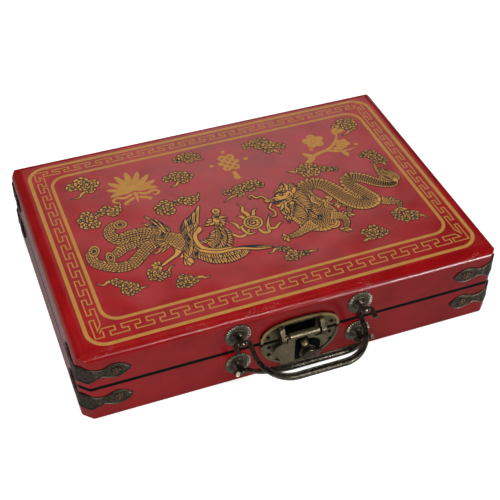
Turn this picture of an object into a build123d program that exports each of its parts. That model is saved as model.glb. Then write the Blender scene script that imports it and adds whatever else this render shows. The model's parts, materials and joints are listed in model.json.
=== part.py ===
from build123d import *
import math
import os

# Mahjong case: a leatherette-covered wooden box in two nearly equal halves.
# Origin: centre of the base's underside. +X runs along the length, the handles
# and the latch are on the -Y side, the hinges on the +Y side, and +Z is up.
# All sizes are in millimetres.

# ---- case -----------------------------------------------------------------
case_length = 360.0
case_width = 252.0
base_height = 33.55           # covered side of the base
lid_height = 34.05            # covered side and top of the lid
corner_leg = 8.0              # vertical corners are cut off at this distance
corner_softening = 4.0        # rounding of the cut's two edges
lid_edge_radius = 10.0        # rounding round the top
base_edge_radius = 1.0        # rounding round the underside
cover_thickness = 1.2         # leatherette on card
rail_thickness = 6.0
lid_panel_thickness = 8.0
base_panel_thickness = 6.0
edge_band_height = 1.4        # black band on each rim
edge_band_setback = 0.2       # bands lie this far behind the covers
lid_gap = 0.1                 # between the two bands
liner_thickness = 1.5
liner_gap = 0.4               # liner to rail
liner_lip = 5.0               # base liner above the seam
lip_clearance = 1.5           # base liner's lip to the lid's liner

# ---- tile trays -------------------------------------------------------------
tray_columns = 2
tray_rows = 2
tray_height = 24.0
tray_wall = 2.5
tray_corner_radius = 3.0
tray_clearance = 1.0
tray_grip_radius = 11.0       # finger notch in each end wall
smallest_radius = 0.5         # of a corner that lies inside another
edge_reserve = 0.2            # left between a rounding and the cover's inside

# ---- corner straps ----------------------------------------------------------
strap_thickness = 1.0
strap_rise = 15.4             # strap centre line above or below the seam
strap_reach = 41.5            # corner to leaf tip
strap_root_height = 16.0
strap_neck_reach = 17.5
strap_neck_height = 9.0
strap_leaf_reach = 29.5
strap_leaf_height = 15.6
nail_head_radius = 3.3
nail_head_height = 0.9
nail_petals = 8
nail_petal_radius = 1.1
nail_petal_height = 0.55
nail_middle_radius = 1.4
nail_shank_radius = 0.9
nail_length = 5.0             # below the head

# ---- handles ----------------------------------------------------------------
handle_centre = 0.6           # X of the handles' and the latch's middle line
handle_spacing = 105.0        # post to post
upper_handle_rise = 17.4      # above the seam
lower_handle_drop = 15.2      # below the seam
rosette_radius = 11.2
rosette_thickness = 1.4
rosette_edge_radius = 0.8
rosette_flutes = 36
flute_radius = 0.55
boss_radius = 5.6
boss_height = 3.0
boss_taper = 40.0
post_radius = 2.7
post_reach = 9.5              # case front to eye centre
eye_radius = 3.4
shank_radius = 1.8
bail_end_radius = 1.95
bail_grip_radius = 3.1
bail_eye_clearance = 0.25
bail_bend_radius = 2.4
bail_side_play = 0.1          # eye to the start of each bend
bail_tail_length = 6.5
bail_corner_radius = 27.0
bail_shortest_run = 1.0       # of arm and grip beside the corner
bail_taper_rings = 8          # sections of the tapered bend
upper_bail_depth = 38.0
lower_bail_depth = 34.5
upper_bail_angle = 18.0       # below the horizontal
lower_bail_angle = 40.0       # above the horizontal

# ---- latch ------------------------------------------------------------------
latch_half_width = 34.0
latch_upper_rise = 18.4
latch_upper_fullness = 2.7    # power of the upper outline; 2 is an ellipse
latch_lower_drop = 28.0
latch_seam_gap = 0.3          # plate edge to cover edge
plate_thickness = 1.5
plate_rim_width = 2.2
plate_rim_height = 2.6
plate_bead_inset = 3.2        # outline to the inner bead
plate_bead_width = 1.9
plate_bead_height = 2.2
window_half_width = 13.4
window_height = 10.0
window_rise = 2.9             # middle of the window above the hinge axis
window_depth = 1.1
plate_nail_radius = 1.6
plate_nail_head = 0.5
upper_nail_inset = 6.6        # from the plate's end
upper_nail_rise = 4.6         # above the plate's straight edge
lower_nail_inset = 7.6
lower_nail_drops = (3.6, 12.0)
barrel_rise = 6.9             # hinge axis above the seam
barrel_reach = 7.0            # hinge axis in front of the case
barrel_radius = 2.8
barrel_half_length = 12.6
barrel_offset = 1.3           # barrel's middle beside the middle line
latch_pin_radius = 1.1
pin_clearance = 0.08
lug_width = 4.4
lug_offset = 17.2             # middle line to lug centre
lug_radius = 4.6
lug_root_rise = 16.0          # top of the lug's root above the seam
lug_root_reach = 5.5          # front of the root's top
lug_chin_rise = 1.4           # root's lower end above the hinge axis
lug_brow_angle = 50.0         # where the root meets the round end
flap_thickness = 1.4
flap_half_width = 24.0
flap_neck_inset = 1.0         # neck's edge inside the barrel's end
flap_shoulder_gap = 4.5       # lug to the flap's shoulder
flap_foot_half_width = 12.0
flap_inset = 0.6              # flap edge inside the plate's outline
flap_wave = ((3.5, 1.4), (0.0, 6.5), (4.0, 13.0), (5.5, 18.5))  # inset, drop
turn_offset = 5.5             # turn axis beside the middle line
turn_drop = 16.3              # turn axis below the seam
hub_radius = 5.0
knob_radius = 5.2
knob_height = 3.8
knob_edge_radius = 0.8
lever_length = 12.5
lever_width = 4.6
lever_thickness = 2.0
lever_angle = -4.0            # from the +X direction
lever_clearance = 1.4         # lever to the lower edge of the flap's notch
cam_ring_radius = 7.5
cam_reach = 16.7
cam_angle = 16.8              # released cam leans left of upright
cam_width = 6.0
cam_clearance = 1.2           # between the cam's ring and the notch
notch_radius = 14.2           # round the turn axis, right of it
notch_left = 11.0             # turn axis to the notch's left edge
cam_lift = 0.4                # flap's face to the cam's back
cam_thickness = 1.4
ball_radius = 2.3
ball_sink = 0.2               # into the cam
ball_offset = 14.5            # turn axis to ball
ball_stem_radius = 1.0
pivot_radius = 1.6
recess_disc_radius = 13.2
recess_disc_thickness = 0.9
recess_screw_x = 5.2          # from the turn axis
recess_screw_z = 6.1

# ---- rear hinges ------------------------------------------------------------
hinge_spacing = 190.0
hinge_length = 36.0
hinge_leaf_height = 14.0
hinge_leaf_thickness = 1.2
hinge_leaf_start = 0.7        # leaf's inner edge to the seam
hinge_knuckle_radius = 2.4
hinge_pin_radius = 1.2
hinge_knuckle_gap = 0.2
hinge_screws_per_leaf = 3
hinge_screw_radius = 2.2
hinge_screw_head = 0.5
hinge_screw_rise = 9.5        # from the seam

# ---- places that follow from the sizes ----------------------------------------
half_length = case_length / 2
half_width = case_width / 2
front_y = -half_width
wall = cover_thickness + rail_thickness
seam_z = base_height + edge_band_height + lid_gap / 2
lid_bottom = base_height + 2 * edge_band_height + lid_gap
case_top = lid_bottom + lid_height
lid_ceiling = case_top - cover_thickness - lid_panel_thickness
liner_inset = wall + liner_gap
inside_inset = liner_inset + liner_thickness
base_floor = base_panel_thickness + liner_thickness
upper_post_z = seam_z + upper_handle_rise
lower_post_z = seam_z - lower_handle_drop
left_post_x = handle_centre - handle_spacing / 2
right_post_x = handle_centre + handle_spacing / 2
plate_low = lid_bottom + latch_seam_gap
plate_high = base_height - latch_seam_gap
barrel_z = seam_z + barrel_rise
flap_back = barrel_reach - barrel_radius
flap_front = flap_back + flap_thickness
turn_x = handle_centre + turn_offset
turn_z = seam_z - turn_drop
cam_back = flap_front + cam_lift
lever_back = cam_back + cam_thickness
hinge_reach = hinge_knuckle_radius
nail_x = half_length - strap_leaf_reach
nail_y = half_width - strap_leaf_reach
oval_steps = 16               # stretches of the latch's upper outline
margin = 2.0                  # extra length of a cutting tool
nodes = {}


def front(x, z, reach=0.0):
    """Plane on the case's front, facing outward, with its Y axis up."""
    return Plane(origin=(x, front_y - reach, z), x_dir=(1, 0, 0), z_dir=(0, -1, 0))


def rear(x, z, reach=0.0):
    """Plane on the case's back, facing outward, with its Y axis up."""
    return Plane(origin=(x, half_width + reach, z), x_dir=(-1, 0, 0), z_dir=(0, 1, 0))


def side_on(x):
    """Plane across the case: its X axis points out of the front, its Y axis up."""
    return Plane(origin=(x, front_y, 0), x_dir=(0, -1, 0), z_dir=(-1, 0, 0))


def block(inset, low, high):
    """Case outline moved inward by inset, between two heights."""
    x = half_length - inset
    y = half_width - inset
    leg = corner_leg - inset * (2 - math.sqrt(2))
    corner = [(x, y - leg), (x - leg, y)]
    points = corner + [(-a, b) for a, b in reversed(corner)]
    points += [(-a, -b) for a, b in corner] + [(a, -b) for a, b in reversed(corner)]
    outline = make_face(Polyline(*points, close=True))
    radius = max(corner_softening - inset, smallest_radius)
    return Pos(0, 0, low) * extrude(fillet(outline.vertices(), radius), high - low)


def inner_box(inset, low, high):
    """Square-cornered hollow, inset from the case outline."""
    outline = Rectangle(case_length - 2 * inset, case_width - 2 * inset)
    return Pos(0, 0, low) * extrude(outline, high - low)


def cylinder(plane, radius, length):
    """Cylinder that stands on a plane and points along its normal."""
    return plane * extrude(Circle(radius), length)


def rounded_bar(plane, width, length, low, high, radius):
    """Bar along a plane's normal, its two upper edges rounded."""
    section = Pos(0, (low + high) / 2) * Rectangle(width, high - low)
    section = fillet(section.vertices().sort_by(Axis.Y)[-2:], radius)
    return plane * extrude(section, length / 2, both=True)


def top_rounded(inset, low, high, radius):
    """Case outline with its upper edges rounded, which meet in mitres at the corners."""
    length = case_length - 2 * inset
    width = case_width - 2 * inset
    solid = block(inset, low, high)
    solid &= rounded_bar(Plane.YZ, width, case_length, low, high, radius)
    return solid & rounded_bar(Plane.XZ, length, case_width, low, high, radius)


def four_rails(body, inset):
    """Cut a ring into a front, a back, a left and a right rail with butt joints."""
    size = body.bounding_box()
    middle = inner_box(inset, size.min.Z, size.max.Z)
    strip = Pos(0, 0, size.min.Z) * extrude(
        Rectangle(case_length, case_width - 2 * inset), size.max.Z - size.min.Z)
    ring = body - middle
    long_rails = (ring - strip).solids().sort_by(Axis.Y)
    short_rails = (ring & strip).solids().sort_by(Axis.X)
    return long_rails[0], long_rails[-1], short_rails[0], short_rails[-1]


def mirrored(shape, across_x, across_y):
    """Copy for another corner of the case."""
    if across_x:
        shape = mirror(shape, about=Plane.YZ)
    if across_y:
        shape = mirror(shape, about=Plane.XZ)
    return shape


# ---- corner straps and their nails ---------------------------------------------
def leaf_outline():
    """One strap leg, seen square on: X runs inward from the corner, Y up."""
    root = strap_root_height / 2
    neck = strap_neck_height / 2
    leaf = strap_leaf_height / 2
    end = -strap_thickness - margin
    upper = Spline(
        (0, root), (strap_neck_reach, neck), (strap_leaf_reach, leaf),
        tangents=((1, -0.1), (1, 0)))
    tip = Spline((strap_leaf_reach, leaf), (strap_reach, 0), tangents=((1, 0), (1, -0.6)))
    back = Line((0, root), (end, root))
    half = [upper, tip, back]
    edges = Curve() + half + [mirror(edge, about=Plane.XZ) for edge in half]
    edges += Line((end, root), (end, -root))
    return make_face(edges)


def corner_strap(centre_z):
    """Strap round the front right corner, with a leaf on both faces."""
    low = centre_z - strap_root_height
    high = centre_z + strap_root_height
    skin = block(-strap_thickness, low, high) - block(0, low, high)
    leaf = leaf_outline()
    depth = strap_reach + margin
    reach = depth + strap_thickness
    on_front = Plane(
        origin=(half_length, front_y - strap_thickness - margin, centre_z),
        x_dir=(-1, 0, 0), z_dir=(0, 1, 0)) * extrude(leaf, depth)
    on_side = Plane(
        origin=(half_length + strap_thickness + margin, front_y, centre_z),
        x_dir=(0, 1, 0), z_dir=(-1, 0, 0)) * extrude(leaf, depth)
    corner = (half_length, front_y)
    out = strap_thickness + margin
    near_front = Polyline(
        (corner[0] + out, corner[1] - out), (corner[0] - reach, corner[1] - out),
        (corner[0] - reach, corner[1] + reach), close=True)
    near_side = Polyline(
        (corner[0] + out, corner[1] - out), (corner[0] + out, corner[1] + reach),
        (corner[0] - reach, corner[1] + reach), close=True)
    front_part = Pos(0, 0, low) * extrude(make_face(near_front), high - low)
    side_part = Pos(0, 0, low) * extrude(make_face(near_side), high - low)
    leg = skin & on_front & front_part
    return leg + (skin & on_side & side_part)


def flower_head():
    """Nail head with petals round a raised middle."""
    ring = nail_head_radius - nail_petal_radius
    disc = Circle(ring)
    disc += PolarLocations(ring, nail_petals) * Circle(nail_petal_radius)
    head = extrude(disc, nail_petal_height)
    return head + extrude(Circle(nail_middle_radius), nail_head_height)


def strap_nail(plane):
    """Nail whose head sits on a strap, its shank driven into the rail."""
    shank = cylinder(plane, nail_shank_radius, -nail_length)
    return plane * flower_head() + shank


def nail_planes(centre_z):
    """The eight places where nails hold one half's straps."""
    places = []
    for sign in (-1, 1):
        places.append(front(sign * nail_x, centre_z, strap_thickness))
        places.append(rear(sign * nail_x, centre_z, strap_thickness))
        for end in (-1, 1):
            places.append(Plane(
                origin=(sign * (half_length + strap_thickness), end * nail_y, centre_z),
                x_dir=(0, sign, 0), z_dir=(sign, 0, 0)))
    return places


def group(shapes):
    """Separate solids that share one node."""
    return Compound(children=[solid for shape in shapes for solid in shape.solids()])


def make_straps(name, centre_z):
    """Four straps and eight nails of one half; gives back the nail shanks."""
    planes = nail_planes(centre_z)
    shanks = [cylinder(plane, nail_shank_radius, -nail_length) for plane in planes]
    strap = corner_strap(centre_z)
    for along, across_x in (("left", True), ("right", False)):
        for side, across_y in (("front", False), ("back", True)):
            nodes[f"{name}_strap_{side}_{along}"] = mirrored(strap, across_x, across_y) - shanks
    nodes[f"{name}_strap_nails"] = group([strap_nail(plane) for plane in planes])
    return shanks


# ---- handles --------------------------------------------------------------------
def rosette(x, z):
    """Fluted round plate behind a handle post."""
    plane = front(x, z)
    disc = extrude(Circle(rosette_radius), rosette_thickness)
    disc = fillet(disc.faces().sort_by(Axis.Z)[-1].edges(), rosette_edge_radius)
    flutes = Sketch() + PolarLocations(rosette_radius, rosette_flutes) * Circle(flute_radius)
    disc -= extrude(flutes, rosette_thickness)
    return plane * (disc - extrude(Circle(shank_radius), rosette_thickness))


def handle_post(x, z):
    """Post with a conical foot, an eye across it and a shank through the rail."""
    foot = extrude(Circle(boss_radius), boss_height, taper=boss_taper)
    stem = extrude(Circle(post_radius), post_reach - rosette_thickness)
    shank = extrude(Circle(shank_radius), -(rosette_thickness + wall))
    post = front(x, z, rosette_thickness) * (foot + stem + shank)
    eye = Pos(x, front_y - post_reach, z) * Sphere(eye_radius)
    hole = Plane(origin=(x, front_y - post_reach, z), z_dir=(1, 0, 0))
    return post + eye - hole * extrude(
        Circle(bail_end_radius + bail_eye_clearance), eye_radius + margin, both=True)


def bail(depth, angle, z):
    """Handle bail: tapered D with bent ends that pass through the eyes.

    The path is drawn flat, with X along the case and Y away from the eyes,
    and is then tilted about the line through the two eyes.
    """
    bend = bail_bend_radius
    tail_x = handle_spacing / 2 + eye_radius + bail_side_play
    arm_x = handle_spacing / 2 - eye_radius - bail_side_play - bend
    corner = min(
        bail_corner_radius, depth - bend - bail_shortest_run, arm_x - bail_shortest_run)
    tail = Line((tail_x + bend, bend + bail_tail_length), (tail_x + bend, bend))
    tail_bend = TangentArc(tail @ 1, (tail_x, 0), tangent=tail % 1)
    eye = Line(tail_bend @ 1, (arm_x + bend, 0))
    arm_bend = TangentArc(eye @ 1, (arm_x, bend), tangent=eye % 1)
    arm = Line(arm_bend @ 1, (arm_x, depth - corner))
    curve = TangentArc(arm @ 1, (arm_x - corner, depth), tangent=arm % 1)
    half_grip = Line(curve @ 1, (0, depth))
    thin = sweep(
        Plane(origin=tail @ 0, z_dir=tail % 0) * Circle(bail_end_radius),
        path=Wire([tail, tail_bend, eye, arm_bend, arm]))
    rings = []
    for step in range(bail_taper_rings + 1):
        share = step / bail_taper_rings
        swell = share * share * (3 - 2 * share)
        radius = bail_end_radius + swell * (bail_grip_radius - bail_end_radius)
        rings.append(Plane(origin=curve @ share, z_dir=curve % share) * Circle(radius))
    taper = loft(rings)
    grip = cylinder(
        Plane(origin=half_grip @ 0, z_dir=half_grip % 0), bail_grip_radius, half_grip.length)
    side = thin + taper + grip
    flat = side + mirror(side, about=Plane.YZ)
    tilt = Rotation(0, 0, 180) * flat
    return Pos(handle_centre, front_y - post_reach, z) * Rotation(angle, 0, 0) * tilt


# ---- latch ----------------------------------------------------------------------
def half_oval(height, inset, upward):
    """Half of the latch's oval outline, with its flat edge on the X axis.

    The lower half is an ellipse; the upper half is fuller at its shoulders.
    """
    across = latch_half_width - inset
    if not upward:
        keep = Pos(0, -height / 2) * Rectangle(2 * latch_half_width, height)
        return Ellipse(across, height - inset) & keep
    power = 2 / latch_upper_fullness
    angles = [math.pi * step / oval_steps for step in range(1, oval_steps)]
    points = [(across, 0)]
    points += [(math.copysign(across * abs(math.cos(angle)) ** power, math.cos(angle)),
                (height - inset) * math.sin(angle) ** power) for angle in angles]
    points.append((-across, 0))
    arch = Spline(*points, tangents=((0, 1), (0, -1)))
    return make_face(Curve() + [arch, Line(points[-1], points[0])])


def oval_plate(height, upward):
    """Stamped latch plate: flat sheet, raised rim, and a bead inside the rim."""
    plate = extrude(half_oval(height, 0, upward), plate_thickness)
    rim = half_oval(height, 0, upward) - half_oval(height, plate_rim_width, upward)
    bead = half_oval(height, plate_bead_inset, upward)
    bead -= half_oval(height, plate_bead_inset + plate_bead_width, upward)
    plate += extrude(rim, plate_rim_height)
    if upward:
        plate += extrude(bead, plate_bead_height)
    return plate


def plate_nail(x, z):
    """Small round-headed nail through a latch plate."""
    plane = front(x, z, plate_thickness)
    head = extrude(Circle(plate_nail_radius), plate_nail_head)
    shank = extrude(Circle(nail_shank_radius), -nail_length)
    return plane * (head + shank)


def lug(x):
    """Ear that carries the flap's hinge pin in front of the upper plate."""
    root_top = seam_z + lug_root_rise
    brow = math.radians(lug_brow_angle)
    outline = Pos(barrel_reach, barrel_z) * Circle(lug_radius)
    outline += make_face(Polyline(
        (plate_thickness, barrel_z + lug_chin_rise),
        (plate_thickness, root_top),
        (lug_root_reach, root_top),
        (barrel_reach + lug_radius * math.cos(brow), barrel_z + lug_radius * math.sin(brow)),
        (barrel_reach, barrel_z),
        close=True))
    outline -= Pos(barrel_reach, barrel_z) * Circle(latch_pin_radius)
    return side_on(x) * extrude(outline, lug_width / 2, both=True)


def flap_outline():
    """Flap seen from the front, centred on the middle line, without its notch."""
    neck = barrel_half_length - flap_neck_inset
    shoulder = barrel_z - lug_radius - flap_shoulder_gap
    end = (flap_foot_half_width, plate_high - latch_lower_drop)
    foot = half_oval(latch_lower_drop, flap_inset, False)
    side = [(flap_half_width - inset, shoulder - drop) for inset, drop in flap_wave]
    wave = Spline((neck, shoulder), *side, end, tangents=((1, 0.2), (-1, -1)))
    edges = Curve() + [wave, mirror(wave, about=Plane.YZ)]
    edges += Line(end, (-end[0], end[1]))
    edges += Line((neck, shoulder), (neck, barrel_z))
    edges += Line((-neck, shoulder), (-neck, barrel_z))
    edges += Line((-neck, barrel_z), (neck, barrel_z))
    above = Rectangle(4 * latch_half_width, barrel_z, align=(Align.CENTER, Align.MIN))
    limit = Pos(0, plate_high) * (foot + above)
    return make_face(edges) & limit


def flap_notch():
    """Opening for the turning piece: open below, with a pocket for cam and lever.

    The released cam points up and the lever right, both clear of the flap. The
    locked cam points left, where its tip lies over the flap.
    """
    ring_right = cam_ring_radius + cam_clearance
    tip = lever_length - lever_width / 2
    lever_drop = tip * math.sin(math.radians(-lever_angle)) + lever_width / 2
    shelf = -lever_drop - lever_clearance
    pocket = Circle(notch_radius) & Pos(-notch_left, shelf) * Rectangle(
        notch_left + notch_radius, notch_radius - shelf, align=Align.MIN)
    below = Pos(-notch_left, -turn_z) * Rectangle(
        notch_left + ring_right, turn_z, align=Align.MIN)
    above = Pos(-notch_left, 0) * Rectangle(
        notch_left, barrel_z - turn_z, align=Align.MIN)
    return Pos(turn_offset, turn_z) * (pocket + below + above)


def latch_flap():
    """Hasp: a rolled barrel at the top and a notched plate below it."""
    plate = front(handle_centre, 0, flap_back) * extrude(
        flap_outline() - flap_notch(), flap_thickness)
    axis = Plane(
        origin=(handle_centre + barrel_offset, front_y - barrel_reach, barrel_z),
        z_dir=(1, 0, 0))
    barrel = axis * extrude(Circle(barrel_radius), barrel_half_length, both=True)
    bore = axis * extrude(
        Circle(latch_pin_radius + pin_clearance), barrel_half_length, both=True)
    return plate + barrel - bore


def turn_knob():
    """Hub with a round knob and a finger lever, on a blind bore."""
    hub_foot = plate_thickness + recess_disc_thickness
    hub = cylinder(front(turn_x, turn_z, hub_foot), hub_radius, lever_back - hub_foot)
    knob = cylinder(front(turn_x, turn_z, lever_back), knob_radius, knob_height)
    knob = fillet(knob.faces().sort_by(Axis.Y)[0].edges(), knob_edge_radius)
    arm = SlotCenterPoint(
        (lever_length / 2, 0), (lever_length - lever_width / 2, 0), lever_width)
    lever = front(turn_x, turn_z, lever_back) * Rotation(0, 0, lever_angle) * extrude(
        arm, lever_thickness)
    bore = cylinder(
        front(turn_x, turn_z, hub_foot), pivot_radius + pin_clearance,
        lever_back - hub_foot + pin_clearance)
    return hub + knob + lever - bore


def turn_cam():
    """Tongue on the hub, just in front of the flap; it leans left of upright when released."""
    outline = Circle(cam_ring_radius)
    outline += Rectangle(cam_width, cam_reach - cam_width / 2, align=(Align.CENTER, Align.MIN))
    outline += Pos(0, cam_reach - cam_width / 2) * Circle(cam_width / 2)
    outline -= Circle(hub_radius)
    outline -= Pos(0, ball_offset) * Circle(ball_stem_radius)
    upright = front(turn_x, turn_z, cam_back)
    return upright * Rotation(0, 0, cam_angle) * extrude(outline, cam_thickness)


def ball_stud():
    """Small ball on a stem riveted through the cam."""
    reach = cam_back + cam_thickness + ball_radius - ball_sink
    x = turn_x - ball_offset * math.sin(math.radians(cam_angle))
    z = turn_z + ball_offset * math.cos(math.radians(cam_angle))
    stem = cylinder(front(x, z, cam_back), ball_stem_radius, reach - cam_back)
    return stem + Pos(x, front_y - reach, z) * Sphere(ball_radius)


# ---- rear hinges ------------------------------------------------------------------
def hinge_rod(x, radius, length):
    """Cylinder about the lid's hinge axis, centred on x."""
    axis = Plane(origin=(x, half_width + hinge_reach, seam_z), z_dir=(1, 0, 0))
    return axis * extrude(Circle(radius), length / 2, both=True)


def leaf_plate(x, upward):
    """Flat sheet of a rear hinge's leaf."""
    side = 1 if upward else -1
    sheet = Rectangle(hinge_length, hinge_leaf_height - hinge_leaf_start)
    middle = seam_z + side * (hinge_leaf_height + hinge_leaf_start) / 2
    return rear(x, middle) * extrude(sheet, hinge_leaf_thickness)


def hinge_leaf(x, upward):
    """Leaf with its knuckles: the lid's has the middle one, the base's the ends."""
    third = hinge_length / 3
    middle = [x]
    ends = [x - third, x + third]
    own = middle if upward else ends
    free = ends if upward else middle
    leaf = leaf_plate(x, upward)
    for place in free:
        leaf -= hinge_rod(
            place, hinge_knuckle_radius + hinge_knuckle_gap, third + 2 * hinge_knuckle_gap)
    for place in own:
        leaf += hinge_rod(place, hinge_knuckle_radius, third - hinge_knuckle_gap)
    bore = hinge_pin_radius + (pin_clearance if upward else 0)
    return leaf - hinge_rod(x, bore, hinge_length)


def hinge_screw_planes(x, upward):
    """Places of the screws of one leaf, on the leaf's outer face."""
    side = 1 if upward else -1
    height = seam_z + side * hinge_screw_rise
    pitch = hinge_length / hinge_screws_per_leaf
    first = x - hinge_length / 2 + pitch / 2
    return [rear(first + pitch * number, height, hinge_leaf_thickness)
            for number in range(hinge_screws_per_leaf)]


def hinge_screw(plane):
    """Dome-headed screw of a rear hinge."""
    head = extrude(Circle(hinge_screw_radius), hinge_screw_head)
    return plane * (head + extrude(Circle(nail_shank_radius), -nail_length))


# ---- trays ----------------------------------------------------------------------
def tile_tray(length, width):
    """Open tray with a finger notch in each end wall."""
    body = extrude(RectangleRounded(length, width, tray_corner_radius), tray_height)
    hollow_corner = max(tray_corner_radius - tray_wall, smallest_radius)
    hollow = Pos(0, 0, tray_wall) * extrude(
        RectangleRounded(length - 2 * tray_wall, width - 2 * tray_wall, hollow_corner),
        tray_height)
    notch = Plane(origin=(0, 0, tray_height), z_dir=(1, 0, 0)) * extrude(
        Circle(tray_grip_radius), length, both=True)
    return body - hollow - notch


# ---- fittings of each half, and the holes that they need ---------------------------
lid_holes = make_straps("lid", seam_z + strap_rise)
base_holes = make_straps("base", seam_z - strap_rise)
post_sets = (("upper", upper_post_z, lid_holes), ("lower", lower_post_z, base_holes))
for level, height, holes in post_sets:
    for along, x in (("left", left_post_x), ("right", right_post_x)):
        nodes[f"{level}_rosette_{along}"] = rosette(x, height)
        nodes[f"{level}_post_{along}"] = handle_post(x, height)
        holes.append(cylinder(front(x, height), shank_radius, -wall))
nodes["upper_bail"] = bail(upper_bail_depth, upper_bail_angle, upper_post_z)
nodes["lower_bail"] = bail(lower_bail_depth, -lower_bail_angle, lower_post_z)

upper_nail_places = [
    (handle_centre + side * (latch_half_width - upper_nail_inset), plate_low + upper_nail_rise)
    for side in (-1, 1)]
lower_nail_places = [
    (handle_centre + side * (latch_half_width - lower_nail_inset), plate_high - drop)
    for side in (-1, 1) for drop in lower_nail_drops]
upper_nails = [plate_nail(x, z) for x, z in upper_nail_places]
lower_nails = [plate_nail(x, z) for x, z in lower_nail_places]
recess_screw = Pos(0, -recess_disc_thickness, 0) * plate_nail(
    turn_x + recess_screw_x, turn_z + recess_screw_z)

upper_plate = front(handle_centre, plate_low) * oval_plate(latch_upper_rise, True)
window = front(handle_centre, barrel_z + window_rise, plate_thickness) * extrude(
    Rectangle(2 * window_half_width, window_height), -window_depth)
nodes["latch_upper_plate"] = upper_plate - window - upper_nails
for along, side in (("left", -1), ("right", 1)):
    ear = lug(handle_centre + side * lug_offset)
    nodes[f"latch_lug_{along}"] = ear - nodes["latch_upper_plate"]
nodes["latch_upper_nails"] = group(upper_nails)
nodes["latch_hinge_pin"] = Plane(
    origin=(handle_centre, front_y - barrel_reach, barrel_z), z_dir=(1, 0, 0)) * extrude(
    Circle(latch_pin_radius), lug_offset + lug_width / 2, both=True)
nodes["latch_flap"] = latch_flap()

pivot = cylinder(
    front(turn_x, turn_z, -rail_thickness / 2), pivot_radius,
    rail_thickness / 2 + lever_back)
recess_disc = cylinder(
    front(turn_x, turn_z, plate_thickness), recess_disc_radius, recess_disc_thickness)
recess_disc &= front(handle_centre, plate_high, plate_thickness) * extrude(
    half_oval(latch_lower_drop, plate_rim_width, False), recess_disc_thickness)
lower_plate = front(handle_centre, plate_high) * oval_plate(latch_lower_drop, False)
nodes["latch_lower_plate"] = lower_plate - lower_nails - recess_screw - pivot
nodes["latch_recess_disc"] = recess_disc - recess_screw - pivot
nodes["latch_lower_nails"] = group(lower_nails + [recess_screw])
nodes["latch_turn_pivot"] = pivot
nodes["latch_turn_knob"] = turn_knob()
nodes["latch_turn_cam"] = turn_cam()
nodes["latch_ball_stud"] = ball_stud()
lid_holes += upper_nails
base_holes += lower_nails + [recess_screw, pivot]

lid_screws = []
base_screws = []
hinge_pins = []
for along, side in (("left", -1), ("right", 1)):
    x = side * hinge_spacing / 2
    above = [hinge_screw(plane) for plane in hinge_screw_planes(x, True)]
    below = [hinge_screw(plane) for plane in hinge_screw_planes(x, False)]
    nodes[f"lid_hinge_leaf_{along}"] = hinge_leaf(x, True) - above
    nodes[f"base_hinge_leaf_{along}"] = hinge_leaf(x, False) - below
    lid_screws += above
    base_screws += below
    hinge_pins.append(hinge_rod(x, hinge_pin_radius, hinge_length))
nodes["lid_hinge_screws"] = group(lid_screws)
nodes["base_hinge_screws"] = group(base_screws)
nodes["hinge_pins"] = group(hinge_pins)
lid_holes += lid_screws
base_holes += base_screws

# ---- lid ------------------------------------------------------------------------
lid_skin = top_rounded(0, lid_bottom, case_top, lid_edge_radius)
lid_wood = top_rounded(
    cover_thickness, lid_bottom, case_top - cover_thickness,
    lid_edge_radius - cover_thickness)
nodes["lid_cover"] = lid_skin - lid_wood - lid_holes
above_ceiling = block(0, lid_ceiling, case_top)
nodes["lid_top_panel"] = (lid_wood & above_ceiling) - lid_holes
lid_rails = four_rails(lid_wood - above_ceiling, wall)
for side, rail in zip(("front", "back", "left", "right"), lid_rails):
    nodes[f"lid_{side}_rail"] = rail - lid_holes
nodes["lid_edge_band"] = (
    block(edge_band_setback, lid_bottom - edge_band_height, lid_bottom)
    - inner_box(wall, lid_bottom - edge_band_height, lid_bottom))
liner_low = seam_z + liner_lip + lip_clearance
nodes["lid_liner"] = (
    inner_box(liner_inset, liner_low, lid_ceiling)
    - inner_box(inside_inset, liner_low, lid_ceiling - liner_thickness))

# ---- base -----------------------------------------------------------------------
base_skin = block(0, 0, base_height)
base_skin = fillet(
    base_skin.faces().sort_by(Axis.Z)[0].edges(), min(base_edge_radius, cover_thickness - edge_reserve))
base_wood = block(cover_thickness, 0, base_height)
nodes["base_cover"] = base_skin - base_wood - base_holes
for side, rail in zip(("front", "back", "left", "right"), four_rails(base_wood, wall)):
    nodes[f"base_{side}_rail"] = rail - base_holes
nodes["base_bottom_panel"] = inner_box(wall, 0, base_panel_thickness)
nodes["base_edge_band"] = (
    block(edge_band_setback, base_height, base_height + edge_band_height)
    - inner_box(wall, base_height, base_height + edge_band_height))
nodes["base_liner"] = (
    inner_box(liner_inset, base_panel_thickness, seam_z + liner_lip)
    - inner_box(inside_inset, base_floor, seam_z + liner_lip))

# ---- trays ----------------------------------------------------------------------
room_x = case_length - 2 * inside_inset
room_y = case_width - 2 * inside_inset
tray_length = (room_x - (tray_columns + 1) * tray_clearance) / tray_columns
tray_width = (room_y - (tray_rows + 1) * tray_clearance) / tray_rows
tray = tile_tray(tray_length, tray_width)
for row in range(tray_rows):
    for column in range(tray_columns):
        x = (column - (tray_columns - 1) / 2) * (tray_length + tray_clearance)
        y = (row - (tray_rows - 1) / 2) * (tray_width + tray_clearance)
        number = row * tray_columns + column + 1
        nodes[f"tile_tray_{number}"] = Pos(x, y, base_floor) * tray

os.makedirs("parts", exist_ok=True)
for name, shape in nodes.items():
    export_step(shape, f"parts/{name}.step")
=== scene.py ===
import json
import math

import bmesh
import bpy
import numpy as np
from mathutils import Matrix, Vector


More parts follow.
